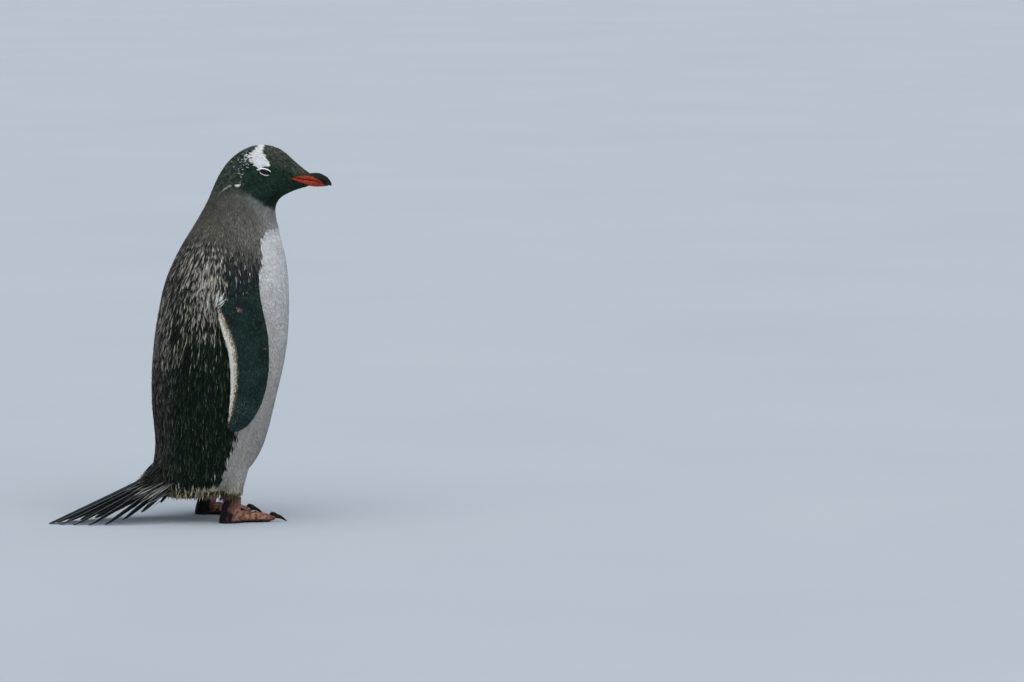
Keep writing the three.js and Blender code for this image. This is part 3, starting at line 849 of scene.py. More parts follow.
def lie_of_flipper(drawn):
    middle = [(a + b) / 2 for a, b in zip(LEAD_X, TRAIL_X)]
    z = drawn[:, 2]
    slope = (np.interp(z + 6, EDGE_Z, middle) - np.interp(z - 6, EDGE_Z, middle)) / 12
    return unit(np.stack([-slope, 0 * z, 0 * z - 1], 1))


def laid_on(ways, normals, drawn, unruly, seed, dice):
    """Turns the drawing's directions with the head, lays them on the skin and makes them uneven."""
    spin = HEAD_TURN * smoothstep(drawn[:, 2], TURN_FROM, TURN_DONE)
    x = ways[:, 0] * np.cos(spin) - ways[:, 1] * np.sin(spin)
    y = ways[:, 0] * np.sin(spin) + ways[:, 1] * np.cos(spin)
    ways = np.stack([x, y, ways[:, 2]], 1)
    flat = unit(ways - normals * (ways * normals).sum(1, keepdims=True))
    side = np.cross(normals, flat)
    turn = unruly * (dice.normal(0, 0.6, len(drawn)) + 0.8 * wander(drawn, 24, seed))
    return flat * np.cos(turn)[:, None] + side * np.sin(turn)[:, None]


print("on the crown the lie is", np.round(lie_of_body(np.array([[110.0, 0, 565]]))[0], 2))

# %% [markdown]
# ## Where the feathers stand
#
# The skin is parted into patches, such as the head, the back or a flipper. Each patch is unwrapped by
# itself, and its feathers keep the place of their root on that unwrap, in a map of their own, so that
# the colours can later be baked feather by feather. Roots are thrown at random and every one that falls
# too near an earlier one is taken away, which leaves them evenly spread but in no rows.

# %% The patches of the skin
WING_OUT, WING_FROM, WING_TO, WING_NEAR = 0.06, 0.13, 0.40, 0.0004  # where a flipper's skin is looked for
skin_mesh = skin.data
middles = column(skin_mesh.polygons, "center", 3).astype(float)
facing = column(skin_mesh.polygons, "normal", 3).astype(float)
face_places = to_drawing(middles)
face_x, face_y, face_z = face_places.T
near_flipper = np.zeros(len(middles), bool)
outer = (np.abs(middles[:, 1]) > WING_OUT) & (middles[:, 2] > WING_FROM) & (middles[:, 2] < WING_TO)
for i in np.nonzero(outer)[0]:
    wall = flippers["left" if middles[i, 1] > 0 else "right"]
    near_flipper[i] = wall.find_nearest(Vector(middles[i]))[3] < WING_NEAR
on_head = face_z > np.interp(face_x, HOOD_X, HOOD_Z) - 4
on_neck = ~on_head & (face_z > 425)
on_front = ~on_head & ~on_neck & ((white_front(face_places, 0) > 0) | (face_z < 40))
on_back = ~(on_head | on_neck | on_front)
patches = {"head": on_head, "neck": on_neck}
for name, here in (("right", face_y <= 0), ("left", face_y > 0)):
    patches["front_" + name] = on_front & here & ~near_flipper
    patches["back_" + name] = on_back & here & ~near_flipper
    patches["flipper_" + name] = near_flipper & here
print({name: int(mask.sum()) for name, mask in patches.items()})


# %% Unwrap a patch and read it as arrays
def read_patch(name, faces):
    """The triangles of a part of the skin: corners, corner normals and places on its unwrap."""
    mesh = skin_mesh.copy()
    obj = placed("patch_" + name, mesh)
    mesh.polygons.foreach_set("select", ~faces)
    pick(obj)
    bpy.ops.object.mode_set(mode="EDIT")
    bpy.ops.mesh.select_mode(type="FACE")
    bpy.ops.mesh.delete(type="FACE")
    bpy.ops.mesh.select_all(action="SELECT")
    bpy.ops.uv.smart_project(angle_limit=math.radians(66), island_margin=0.004)
    bpy.ops.object.mode_set(mode="OBJECT")
    mesh.calc_loop_triangles()
    points = corners(mesh)
    rows = column(mesh.loop_triangles, "vertices", 3, np.int32)
    loops = column(mesh.loop_triangles, "loops", 3, np.int32)
    flat = column(mesh.uv_layers.active.data, "uv", 2).astype(float)
    patch = {"points": points[rows], "normals": corner_normals(mesh)[rows], "flat": flat[loops]}
    run = patch["points"][:, 1:] - patch["points"][:, :1]
    patch["area"] = np.linalg.norm(np.cross(run[:, 0], run[:, 1]), axis=1) / 2
    bpy.data.objects.remove(obj)
    bpy.data.meshes.remove(mesh)
    return patch


def scatter(patch, spacing, dice, tries=5):
    """Evenly spread roots on a patch: their places, normals and places on the unwrap."""
    centre = patch["points"].mean(1)
    weight = patch["area"] / spacing(to_drawing(centre)) ** 2
    count = int(weight.sum() * tries)
    face = np.searchsorted(np.cumsum(weight), dice.random(count) * weight.sum())
    face = np.minimum(face, len(weight) - 1)
    a, b = dice.random(count), dice.random(count)
    a, b = np.where(a + b > 1, 1 - a, a), np.where(a + b > 1, 1 - b, b)
    share = np.stack([1 - a - b, a, b], 1)[:, :, None]
    roots, normals, flat = ((patch[key][face] * share).sum(1) for key in ("points", "normals", "flat"))
    apart = spacing(to_drawing(roots))
    tree = KDTree(count)
    for i, root in enumerate(roots):
        tree.insert(root, i)
    tree.balance()
    keep = np.ones(count, bool)
    for i in range(count):
        if keep[i]:
            for _, j, _ in tree.find_range(roots[i], apart[i]):
                if j > i:
                    keep[j] = False
    return {"roots": roots[keep], "normals": unit(normals[keep]), "flat": flat[keep]}


# %% [markdown]
# ## One feather, many times
#
# A contour feather shows as a small pointed blade. Ours is a closed sliver with three sides: two vanes
# that meet in a ridge over the shaft, and a flat underside. It has three rings of three corners and one
# tip, ten corners in all, because there are tens of thousands of them. All the feathers of a patch are
# worked out together as arrays and become one mesh. Each ring is laid over the skin below it, raised a
# little more towards the tip, so the blades overlap like tiles.

# %% The skin below a feather
def skin_below(faces):
    """A search tree over the triangles of some of the skin's faces, and the mean normal of each."""
    skin_mesh.calc_loop_triangles()
    rows = column(skin_mesh.loop_triangles, "vertices", 3, np.int32)
    rows = rows[faces[column(skin_mesh.loop_triangles, "polygon_index", 1, np.int32)]]
    normal = unit(corner_normals(skin_mesh)[rows].mean(1))
    tree = BVHTree.FromPolygons(corners(skin_mesh).tolist(), rows.tolist(), all_triangles=True)
    return tree, normal


FLIPPER_TOP = 322  # above this height the body's feathers may lie over the root of the flipper
body_skin = skin_below(~near_flipper | (face_z > FLIPPER_TOP))
flipper_skin = skin_below(near_flipper)


def dropped(points, under):
    """The nearest place on the skin to each point, and the skin's normal there."""
    tree, normal = under
    place = np.empty_like(points)
    face = np.empty(len(points), np.int64)
    for i, point in enumerate(points):
        place[i], _, face[i], _ = tree.find_nearest(point)
    return place, normal[face]


print("skin triangles", len(body_skin[1]), "and", len(flipper_skin[1]))

# %% The mesh of many feathers
ALONG = np.array([0.0, 0.36, 0.74, 1.0])
BREADTH = np.array([0.5, 1.0, 0.70])
RISE = np.array([-0.12, 0.38, 0.78, 1.0])
KEEL = np.array([0.10, 0.17, 0.13])
BLADE = [(0, 1, 4, 3), (1, 2, 5, 4), (2, 0, 3, 5), (3, 4, 7, 6), (4, 5, 8, 7), (5, 3, 6, 8),
         (0, 2, 1), (6, 7, 9), (7, 8, 9), (8, 6, 9)]
PATCH_SIZE = 0.003  # how large a feather is on the bake's map
TRIANGLES_EACH = 16


def make_feathers(name, stand, ways, length, width, lift, colours, dice, cling=1.0, roll=0.22, keel=1.0,
                  root_tone=0.7, under=body_skin):
    """One mesh of closed blades, rooted where `stand` says, pointing along `ways`."""
    roots, normals = stand["roots"], stand["normals"]
    n = len(roots)
    measures = (length, width, lift, cling)
    length, width, lift, cling = (np.broadcast_to(v, n).astype(float)[:, None] for v in measures)
    spine, ups = np.empty((n, 4, 3)), np.empty((n, 4, 3))
    for k in range(4):
        straight = roots + ways * length * ALONG[k]
        place, up = (roots, normals) if k == 0 else dropped(straight, under)
        ups[:, k] = unit(up * cling + normals * (1.02 - cling))
        spine[:, k] = straight * (1 - cling) + place * cling + ups[:, k] * lift * RISE[k]
    run = unit(np.gradient(spine, axis=1))
    side = unit(np.cross(run, ups))
    tilt = dice.normal(0, roll, n)[:, None, None]
    side = side * np.cos(tilt) + ups * np.sin(tilt)
    points = np.empty((n, 10, 3))
    for k in range(3):
        half = side[:, k] * width * BREADTH[k] / 2
        points[:, 3 * k] = spine[:, k] - half
        points[:, 3 * k + 1] = spine[:, k] + ups[:, k] * width * keel * KEEL[k]
        points[:, 3 * k + 2] = spine[:, k] + half
    points[:, 9] = spine[:, 3]

    ground, fringe, tip = colours
    paint = np.empty((n, 10, 3), np.float32)
    paint[:, 0:3] = (ground * root_tone)[:, None]
    paint[:, 3] = paint[:, 5] = ground * 0.35 + fringe * 0.65
    paint[:, 4] = ground
    paint[:, 6] = paint[:, 8] = fringe
    paint[:, 7] = ground * 0.65 + fringe * 0.35
    paint[:, 9] = tip

    loops = np.concatenate([np.array(f) for f in BLADE])
    sizes = np.array([len(f) for f in BLADE])
    across = np.array([-0.5, 0, 0.5] * 3 + [0.0])
    up_map = np.concatenate([np.repeat(ALONG[:3], 3), [1.0]]) - 0.5
    flat = stand["flat"][:, None, :] + PATCH_SIZE * np.stack([across, up_map], 1)[None]
    starts = np.concatenate([[0], np.cumsum(sizes)[:-1]])
    nth = np.arange(n)[:, None]
    mesh = bpy.data.meshes.new(name)
    mesh.vertices.add(n * 10)
    mesh.loops.add(n * len(loops))
    mesh.polygons.add(n * len(sizes))
    fill(mesh.vertices, "co", points)
    fill(mesh.loops, "vertex_index", loops + 10 * nth, np.int32)
    fill(mesh.polygons, "loop_start", starts + len(loops) * nth, np.int32)
    fill(mesh.polygons, "loop_total", np.tile(sizes, n), np.int32)
    fill(mesh.uv_layers.new(name="OFBake").data, "uv", flat[:, loops])
    painted(mesh, paint.reshape(-1, 3))
    mesh.update(calc_edges=True)
    mesh.validate()
    mesh.shade_smooth()
    obj = placed(name, mesh)
    print(name, n, "feathers,", n * TRIANGLES_EACH, "triangles")
    return obj


print("a blade has", len(BLADE), "faces and", TRIANGLES_EACH, "triangles")

# %% [markdown]
# ## Sizes of the feathers
#
# They are under four millimetres on the face, where they look like velvet, and grow towards the back,
# where the tips that show are about fifteen. At the foot of the flanks they stand free of the skin in a
# ragged hem, and over the root of the tail they are long.

# %% Spacing, length and breadth for each place on the body, in metres
def body_spacing(drawn):
    x, _, z = drawn.T
    size = 1.20 + 0.32 * smoothstep(-z, -510, -440) + 0.28 * smoothstep(-z, -440, -380)
    size = size - 0.22 * smoothstep(x, 130, 170) * smoothstep(z, 480, 505)
    return size * MM


def body_length(drawn):
    x, _, z = drawn.T
    size = 4.2 + 4.8 * smoothstep(-z, -510, -440) + 6.5 * smoothstep(-z, -440, -370)
    size = size - 1.6 * smoothstep(x, 125, 172) * smoothstep(z, 480, 505)
    front = smoothstep(white_front(drawn, 0), -2, 4)
    size = size * (1 - 0.22 * front) * (1 - 0.5 * shoulder_patch(drawn) * smoothstep(-z, -385, -335))
    return size * (1 - 0.15 * smoothstep(-z, -85, -55)) * MM


def body_lift(drawn):
    """How far a feather's tip rises over the skin: fullest over the crown and down the back."""
    x, _, z = drawn.T
    crown = smoothstep(z, 528, 556)
    back = smoothstep(-x, -5, 30) * smoothstep(z, 120, 200) * smoothstep(-z, -470, -420)
    belly = smoothstep(white_front(drawn, 0), -2, 4)
    return (coat_depth(drawn) * (0.78 - 0.42 * belly) + 1.1 * crown + 0.9 * back) * MM


def body_cling(drawn):
    """1 where feathers lie on the skin, less where they hang free of it along the hem."""
    x, _, z = drawn.T
    hem = smoothstep(-z, -66, -50) * smoothstep(-x, -40, -30)
    return 1 - 0.75 * hem


print("a feather at mid back is", round(float(body_length(np.array([[-40.0, 0, 250]]))[0]) * 1000, 1), "mm")

# %% [markdown]
# ## The finish of plumage
#
# One material dresses skin and coat alike. It reads the colour that the markings left on each corner,
# and adds what is finer than a corner: a fine grain, and a roughness that wanders as the barbs do. The
# grain is a node group, so that the feathers of the tail and the horny parts can use it as well.

# %% Node group for an uneven tone
def socket(tree, name, direction, kind, value=None):
    made = tree.interface.new_socket(name=name, in_out=direction, socket_type="NodeSocket" + kind)
    if value is not None:
        made.default_value = value


def value_node(tree, operation, *values):
    """A sum on constants and the outputs of other nodes."""
    node = add_node(tree, "Math")
    node.operation = operation
    for target, value in zip(node.inputs, values):
        if isinstance(value, (int, float)):
            target.default_value = value
        else:
            tree.links.new(value, target)
    return node.outputs["Value"]


def build_uneven_tone():
    """Colour in, colour and a mask out: noise at a size brightens and darkens the colour by an amount."""
    tree = bpy.data.node_groups.new("uneven_tone", "ShaderNodeTree")
    socket(tree, "Colour", "INPUT", "Color", (0.5, 0.5, 0.5, 1))
    socket(tree, "Place", "INPUT", "Vector")
    socket(tree, "Scale", "INPUT", "Float", 400.0)
    socket(tree, "Amount", "INPUT", "Float", 0.2)
    socket(tree, "Colour", "OUTPUT", "Color")
    socket(tree, "Mask", "OUTPUT", "Float")
    start, end = tree.nodes.new("NodeGroupInput"), tree.nodes.new("NodeGroupOutput")
    given = start.outputs
    noise = add_node(tree, "TexNoise", Vector=given["Place"], Scale=given["Scale"], Detail=3)
    mask = noise.outputs["Fac"]
    reach = add_node(tree, "MapRange", Value=mask, From_Min=0.3, From_Max=0.7, To_Min=-1)
    scaled = value_node(tree, "MULTIPLY_ADD", reach.outputs["Result"], given["Amount"], 1)
    tone = add_node(tree, "VectorMath")
    tone.operation = "SCALE"
    tree.links.new(given["Colour"], tone.inputs[0])
    wire(tree, tone, Scale=scaled)
    wire(tree, end, Colour=tone.outputs["Vector"], Mask=mask)
    return tree


uneven_tone = build_uneven_tone()
print("group", uneven_tone.name, "with", len(uneven_tone.nodes), "nodes")


# %% The plumage material
def plumage_finish(name, grain, amount, rough, gloss, sheen):
    material, tree, shader = new_material(name)
    paint = add_node(tree, "Attribute")
    paint.attribute_name = "Plumage"
    tone = add_node(tree, "Group")
    tone.node_tree = uneven_tone
    wire(tree, tone, Colour=paint.outputs["Color"], Place=object_place(tree), Scale=grain, Amount=amount)
    tree.links.new(tone.outputs["Colour"], shader.inputs["Base Color"])
    roughness = add_node(tree, "MapRange", Value=tone.outputs["Mask"], To_Min=rough[0], To_Max=rough[1])
    tree.links.new(roughness.outputs["Result"], shader.inputs["Roughness"])
    shader.inputs["Specular IOR Level"].default_value = gloss
    shader.inputs["Sheen Weight"].default_value = sheen
    shader.inputs["Sheen Roughness"].default_value = 0.5
    return material


dark_plumage = plumage_finish("dark_plumage", 900, 0.22, (0.5, 0.8), 0.12, 0.0)
head_velvet = plumage_finish("head_velvet", 1500, 0.25, (0.5, 0.8), 0.12, 0.0)
pale_plumage = plumage_finish("pale_plumage", 700, 0.10, (0.6, 0.85), 0.2, 0.05)
flipper_scales = plumage_finish("flipper_scales", 800, 0.15, (0.4, 0.65), 0.16, 0.0)
print("plumage materials", [m.name for m in (dark_plumage, head_velvet, pale_plumage, flipper_scales)])

# %% [markdown]
# ## Growing the coat
#
# Each patch gets its roots, its directions, its sizes and its colours, and becomes one piece. The bill
# and the eyes are kept free: a root is dropped if it lies inside the ring of the lids, or if the bill's
# horn stands over it.

# %% Where nothing grows
def wall_of(node):
    return BVHTree.FromObject(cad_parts[node], bpy.context.evaluated_depsgraph_get())


horn_wall = {jaw: wall_of(jaw) for jaw in ("bill_upper", "bill_lower")}
face_walls = [*horn_wall.values(), wall_of("head")]


def bare(stand, drawn):
    """True for roots in the ring of the lids or under the horn of the bill."""
    found = (round_eye(drawn) < 1.22) & (drawn[:, 2] > 500)
    for i in np.nonzero((drawn[:, 0] > 142) & (drawn[:, 2] > 495))[0]:
        root, up = Vector(stand["roots"][i]), Vector(stand["normals"][i])
        for wall in horn_wall.values():
            hit = wall.ray_cast(root - up * 0.001, up, 0.006)
            if hit[0] is not None or wall.find_nearest(root)[3] < 0.0003:
                found[i] = True
    return found | (drawn[:, 0] > FACE_END_X + 0.5)


def chosen(stand, keep):
    return {key: value[keep] for key, value in stand.items()}


# How the blades of a coat sit: their breadth, least and most lift, roll, keel, and tone at the root.
LOOSE = {"breadth": 1, "lift": (0.65, 1.1), "roll": 0.2, "keel": 1.0, "root_tone": 0.7}
SLEEK = {"breadth": 0.85, "lift": (0.88, 1.0), "roll": 0.03, "keel": 0.25, "root_tone": 1.0}


def grow_body(name, seed, material, unruly):
    dice = np.random.default_rng(seed)
    stand = scatter(read_patch(name, patches[name]), body_spacing, dice)
    drawn = to_drawing(stand["roots"])
    keep = ~bare(stand, drawn)
    stand, drawn = chosen(stand, keep), drawn[keep]
    n = len(drawn)
    wild = unruly * (0.55 + 0.9 * wear(drawn))
    ways = laid_on(lie_of_body(drawn), stand["normals"], drawn, wild, seed, dice)
    length = body_length(drawn) * dice.uniform(0.8, 1.2, n)
    width = np.clip(body_length(drawn) * 0.20, 0.0012, 0.0020) * dice.uniform(0.8, 1.15, n)
    sit = dict(SLEEK if name.startswith("front") else LOOSE)
    width = width * sit.pop("breadth")
    lift = body_lift(drawn) * dice.uniform(*sit.pop("lift"), n)
    shown = to_drawing(stand["roots"] + ways * np.maximum(0.6 * length - 0.0015, 0)[:, None])
    ground, fringe, tip, fleck = paint_body(shown, stand["normals"], dice)
    length, width = length * np.where(fleck, 0.62, 1), width * np.where(fleck, 0.75, 1)
    dash = tip.mean(1) > 2.2 * ground.mean(1)
    width = width * np.where(dash, 0.7, 1)
    fringe = blend(fringe, ground, (dash & (drawn[:, 2] < 340)) * 0.6)
    coat = make_feathers("coat_" + name, stand, ways, length, width, lift, (ground, fringe, tip), dice,
                         body_cling(drawn), **sit)
    coat.data.materials.append(material)
    return coat


coats = {
    "head": grow_body("head", 1, head_velvet, 0.10),
    "neck": grow_body("neck", 2, dark_plumage, 0.10),
    "front_right": grow_body("front_right", 3, pale_plumage, 0.10),
    "front_left": grow_body("front_left", 4, pale_plumage, 0.10),
    "back_right": grow_body("back_right", 5, dark_plumage, 0.17),
    "back_left": grow_body("back_left", 6, dark_plumage, 0.17),
}

# %% [markdown]
# A flipper's feathers are so short and stiff that they lie like scales in close rows.

# %% The coat of the flippers
def grow_flipper(name, seed):
    def spacing(drawn):
        from_rear, from_front = on_flipper(drawn)
        edge = np.minimum(from_rear, from_front)
        return (1.6 - 0.35 * smoothstep(-edge, -12, 0) - 0.3 * in_fringe(drawn)) * MM

    dice = np.random.default_rng(seed)
    stand = scatter(read_patch("flipper_" + name, patches["flipper_" + name]), spacing, dice)
    drawn = to_drawing(stand["roots"])
    n = len(drawn)
    hairs = in_fringe(drawn) & (stand["normals"][:, 1] * SIDES[name] > 0)
    lie = lie_of_flipper(drawn)
    lie = np.where(hairs[:, None], unit(lie + [-0.75, 0, 0]), lie)
    ways = laid_on(lie, stand["normals"], drawn, 0.08, seed, dice)
    length = 4.6 * MM * dice.uniform(0.85, 1.15, n) * np.where(hairs, dice.uniform(0.9, 1.5, n), 1)
    width = 2.1 * MM * dice.uniform(0.85, 1.15, n) * np.where(hairs, 0.38, 1)
    lift = 0.75 * MM * dice.uniform(0.6, 1.1, n) * np.where(hairs, 1.5, 1)
    colours = paint_flipper(drawn, stand["normals"], dice)
    coat = make_feathers("coat_flipper_" + name, stand, ways, length, width, lift, colours, dice,
                         under=flipper_skin)
    coat.data.materials.append(flipper_scales)
    return coat


coats["flipper_right"] = grow_flipper("right", 7)
coats["flipper_left"] = grow_flipper("left", 8)

# %% [markdown]
# ## Feathers that hang free
#
# A few groups stand off the body. A ragged cream hem hangs below the dark flanks, with dark gaps between
# its teeth, and olive wisps cover the top of each leg. Dark coverts run from the rump on to the tail, and
# pale plumes lie along its sides. Fine brown hairs fringe each flipper's rear edge, and a white tuft
# stands up behind its root. They are the same blades in other sizes and with their tips in the air, each
# group rooted on its own part of the skin.

# %% A helper for tufts and fringes
def two_tone(first, second, share, spread=0.12, root=None):
    """Colours for a group: a mix of two tones, on the root's own tone if it has one."""

    def tones(n, dice):
        mixed = blend(linear(first), linear(second), np.clip(dice.normal(share, 0.45, n), 0, 1))
        mixed = np.clip(mixed * (1 + spread * dice.normal(0, 1, n))[:, None], 0.002, 0.9)
        base = mixed * 0.8 if root is None else np.tile(linear(root), (n, 1))
        return base, mixed, mixed

    return tones


def grow_tufts(name, seed, faces, apart, way, reach, breadth, lift, cling, tones, material, slot,
               under=body_skin):
    """Blades of a group; `way` gives each one's direction on the drawing from the place of its root."""
    dice = np.random.default_rng(seed)
    stand = scatter(read_patch(name, faces), lambda places: np.full(len(places), apart * MM), dice)
    drawn = to_drawing(stand["roots"])
    n = len(drawn)
    ways = unit(way(drawn, dice))
    length, width = dice.uniform(*reach, n) * MM, dice.uniform(*breadth, n) * MM
    coat = make_feathers(name, stand, ways, length, width, lift * MM, tones(n, dice), dice, cling,
                         keel=0.7, under=under)
    coat.data.materials.append(material)
    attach(coat, "root")
    return coat


sample = two_tone("cfc4a2", "6b6146", 0.25)(1000, np.random.default_rng(0))[1]
print("a fringe of two tones has the mean colour", np.round(sample.mean(0), 3))

# %% [markdown]
# Each group has its own direction. The hem hangs, coverts and plumes follow the tail, the hairs are swept
# back, and the tuft stands up in all directions.

# %% Which way each group points
def hanging(drawn, dice):
    n = len(drawn)
    return np.stack([dice.normal(-0.12, 0.12, n), dice.normal(0, 0.10, n), -np.ones(n)], 1)


def along_tail(drawn, dice):
    """Towards a place a little further down the upper side of the tail."""
    x, y, z = drawn.T
    goal_x = x - 27
    goal_z = 80 + 0.46 * (goal_x + 44) + 4 - 0.012 * y**2
    n = len(drawn)
    return np.stack([goal_x - x, 0.05 * y + dice.normal(0, 1.2, n), np.minimum(goal_z - z, -6)], 1)


def beside_tail(drawn, dice):
    n = len(drawn)
    return np.stack([-0.9 * np.ones(n), 0.10 * np.sign(drawn[:, 1]) + dice.normal(0, 0.05, n),
                     -0.48 + dice.normal(0, 0.09, n)], 1)


def swept_back(drawn, dice):
    n = len(drawn)
    return np.stack([-0.85 * np.ones(n), np.zeros(n), -0.5 + dice.normal(0, 0.22, n)], 1)


def tousled(drawn, dice):
    turn = np.radians(dice.uniform(28, 74, len(drawn)))
    return np.stack([np.cos(turn), 0.2 * np.sign(drawn[:, 1]), np.sin(turn)], 1)


print("a covert on the rump points", np.round(unit(along_tail(np.array([[-44.0, 0, 80]]),
                                                              np.random.default_rng(0)))[0], 2))

# %% Where each group is rooted
sideways = np.abs(face_y)
rim = (face_z > 43) & (face_z < 52) & (facing[:, 2] > -0.85) & (face_x > -44) & ~near_flipper
rim = rim & (white_front(face_places, 0) < 3)
toothed = hem_tooth(face_places) > 0.3
thigh = (face_z < 50) & (face_x > 8) & (face_x < 60) & (sideways > 26) & (facing[:, 2] > -0.8)
rump_top = (face_x < -42) & (face_z > 58) & (face_z < 87) & (sideways < 34) & (facing[:, 0] < -0.25)
rump_side = (face_x < -36) & (face_x > -66) & (face_z > 44) & (face_z < 66) & (sideways > 8)
edge = near_flipper & in_fringe(face_places) & (facing[:, 1] * np.sign(face_y) > 0.3)
armpit = (face_x > 18) & (face_x < 25) & (face_z > 327) & (face_z < 336) & (sideways > 70)
print("faces of the rim", int(rim.sum()), "thighs", int(thigh.sum()), "rump", int(rump_side.sum()))

# %% Grow the groups on both sides
# Name, seed, faces, spacing, way, least and most length and breadth, lift, cling, colours, finish, slot.
GROUPS = [
    ("hem_", 30, rim & toothed, 2.0, hanging, (7, 14), (0.9, 1.7), 1.4, 0.25,
     two_tone("cfc4a2", "6b6146", 0.25), pale_plumage, "white_plumage"),
    ("hem_gaps_", 48, rim & ~toothed, 2.0, hanging, (4, 9), (1.0, 1.8), 1.4, 0.25,
     two_tone("15170f", "4f4630", 0.3), dark_plumage, "black_plumage"),
    ("leg_wisps_", 33, thigh, 1.3, hanging, (5, 18), (0.8, 1.5), 2.2, 0.15,
     two_tone("6b6249", "3a3426", 0.5), dark_plumage, "white_plumage"),
    ("coverts_", 36, rump_top, 2.6, along_tail, (16, 28), (2.4, 4.0), 1.8, 0.2,
     two_tone("14191b", "4b4a42", 0.2), dark_plumage, "black_plumage"),
    ("tail_plumes_", 39, rump_side, 4.2, beside_tail, (26, 54), (1.1, 2.0), 2.4, 0.0,
     two_tone("cfcfc8", "14181a", 0.45, root="14181a"), pale_plumage, "white_plumage"),
    ("wing_hairs_", 45, edge, 0.95, swept_back, (3.5, 7), (0.45, 0.8), 0.9, 0.8,
     two_tone("8a7452", "17160f", 0.5), flipper_scales, "flipper_plumage", flipper_skin),
    ("wing_tuft_", 42, armpit, 1.6, tousled, (8, 21), (1.1, 1.8), 1.2, 0.0,
     two_tone("f2f4f8", "d9dce0", 0.3), pale_plumage, "white_plumage"),
]
for name, side in SIDES.items():
    for group, seed, faces, *looks in GROUPS:
        grow_tufts(group + name, seed + side, faces & (face_y * side > 0), *looks)

# %% [markdown]
# Last, the skin under the coat gets the same markings, so that no gap between feathers shows bare.

# %% Paint the skin with the same markings
def paint_skin():
    """The skin's corners take the ground colours of the coat above them, a little darker."""
    points, normals = corners(skin_mesh), corner_normals(skin_mesh)
    drawn = to_drawing(points)
    dice = np.random.default_rng(20)
    ground, _, _, _ = paint_body(drawn, normals, dice)
    body = ground * np.where(white_front(drawn) > 0, 1.0, 0.75)[:, None]
    wing, _, _ = paint_flipper(drawn, normals, dice)
    on_wing = np.zeros(len(points), bool)
    rows = column(skin_mesh.loops, "vertex_index", 1, np.int32)
    total = column(skin_mesh.polygons, "loop_total", 1, np.int32)
    on_wing[rows[np.repeat(near_flipper, total)]] = True
    tint = np.where(on_wing[:, None], wing * 0.85, body)
    under_lids = (round_eye(drawn) < 0.95) & (drawn[:, 2] > 500)
    tint = np.where(under_lids[:, None], linear("15130f"), tint)
    painted(skin_mesh, tint)


paint_skin()
skin_mesh.materials.clear()
skin_mesh.materials.append(plumage_finish("skin_down", 500, 0.25, (0.7, 0.95), 0.1, 0.0))
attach(skin, "root")
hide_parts(*SKIN_NODES, *FLIPPER_NODES)
for name, coat in coats.items():
    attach(coat, "root")
print("coat of", sum(len(c.data.polygons) for c in coats.values()), "faces in", len(coats), "pieces")

# %% [markdown]
# ## The tail
#
# A gentoo's tail is a fan of sixteen long stiff feathers, the middle ones longest. One feather is
# modelled flat, from a grid whose sides are drawn in to a blunt point, with a spindle for its shaft.
# Each copy is then laid along its own line, from the rump to the ground, and gets a real thickness.

# %% One flat vane and one shaft
def local_grid(name, along, across):
    """A flat grid, as length share 0 to 1, breadth -1 to 1 and height."""
    deselect()
    bpy.ops.mesh.primitive_grid_add(x_subdivisions=along, y_subdivisions=across, size=1)
    obj = bpy.context.object
    obj.name = name
    points = corners(obj.data)
    set_corners(obj.data, np.stack([points[:, 0] + 0.5, points[:, 1] * 2, points[:, 2]], 1))
    return obj


def local_spindle(name, sides, rings):
    """A ball drawn out, as length share 0 to 1 and two breadths -1 to 1."""
    deselect()
    bpy.ops.mesh.primitive_uv_sphere_add(segments=sides, ring_count=rings, radius=1)
    obj = bpy.context.object
    obj.name = name
    points = corners(obj.data)
    set_corners(obj.data, np.stack([points[:, 2] / 2 + 0.5, points[:, 1], -points[:, 0]], 1))
    return obj


vane = local_grid("vane", 34, 8)
shaft = local_spindle("shaft", 6, 24)
print("vane of", len(vane.data.polygons), "faces, shaft of", len(shaft.data.polygons))

# %% The line of each tail feather
TAIL_ROOT, TAIL_LENGTH, TAIL_PAIRS = np.array([-44.0, 0, 80]), 174.5, 8


def mix(a, b, share):
    return a + (b - a) * share


def tail_line(side, rank):
    """Root, sag point and tip of a tail feather on the drawing; rank 0 is in the middle of the fan."""
    out = rank / (TAIL_PAIRS - 1)
    back_by = TAIL_LENGTH - 160 * out**1.3
    root = np.array([TAIL_ROOT[0] + 8, side * (2 + 30 * out), TAIL_ROOT[2] - 25 * out**1.2])
    tip = np.array([TAIL_ROOT[0] - back_by, side * (4 + 45 * math.sin(out * math.pi / 2)),
                    0.2 + 34 * max(0, 2 * out - 1) ** 1.6])
    sag = mix(root, tip, 0.55) - [0, 0, mix(5, 1, out)]
    return root, sag, tip, out


def laid_along(source, name, line, side, across, height):
    """A copy of a flat form laid along a tail feather's line."""
    root, sag, tip, out = line
    t, v, w = corners(source.data).T
    t = t[:, None]
    spine = (1 - t) ** 2 * root + 2 * t * (1 - t) * sag + t**2 * tip
    run = unit(2 * (1 - t) * (sag - root) + 2 * t * (tip - sag))
    level = unit(np.cross(np.array([[0, 0, 1.0]]), run))
    up = np.cross(run, level)
    roll = side * math.radians(12 + 52 * out)
    sideways = level * math.cos(roll) - up * math.sin(roll)
    up = up * math.cos(roll) + level * math.sin(roll)
    points = spine + sideways * across(t[:, 0], v, out)[:, None] + up * height(t[:, 0], v, w, out)[:, None]
    points[:, 2] = np.maximum(points[:, 2], 0.4)
    obj = placed(name, source.data.copy())
    set_corners(obj.data, (points + [ORIGIN_X, 0, 0]) * MM)
    return obj


def vane_half(t, out):
    return (mix(8.5, 6.0, out) * (1 - t**5) ** 0.7 + 0.5) * (0.55 + 0.45 * smoothstep(t, 0, 0.12))


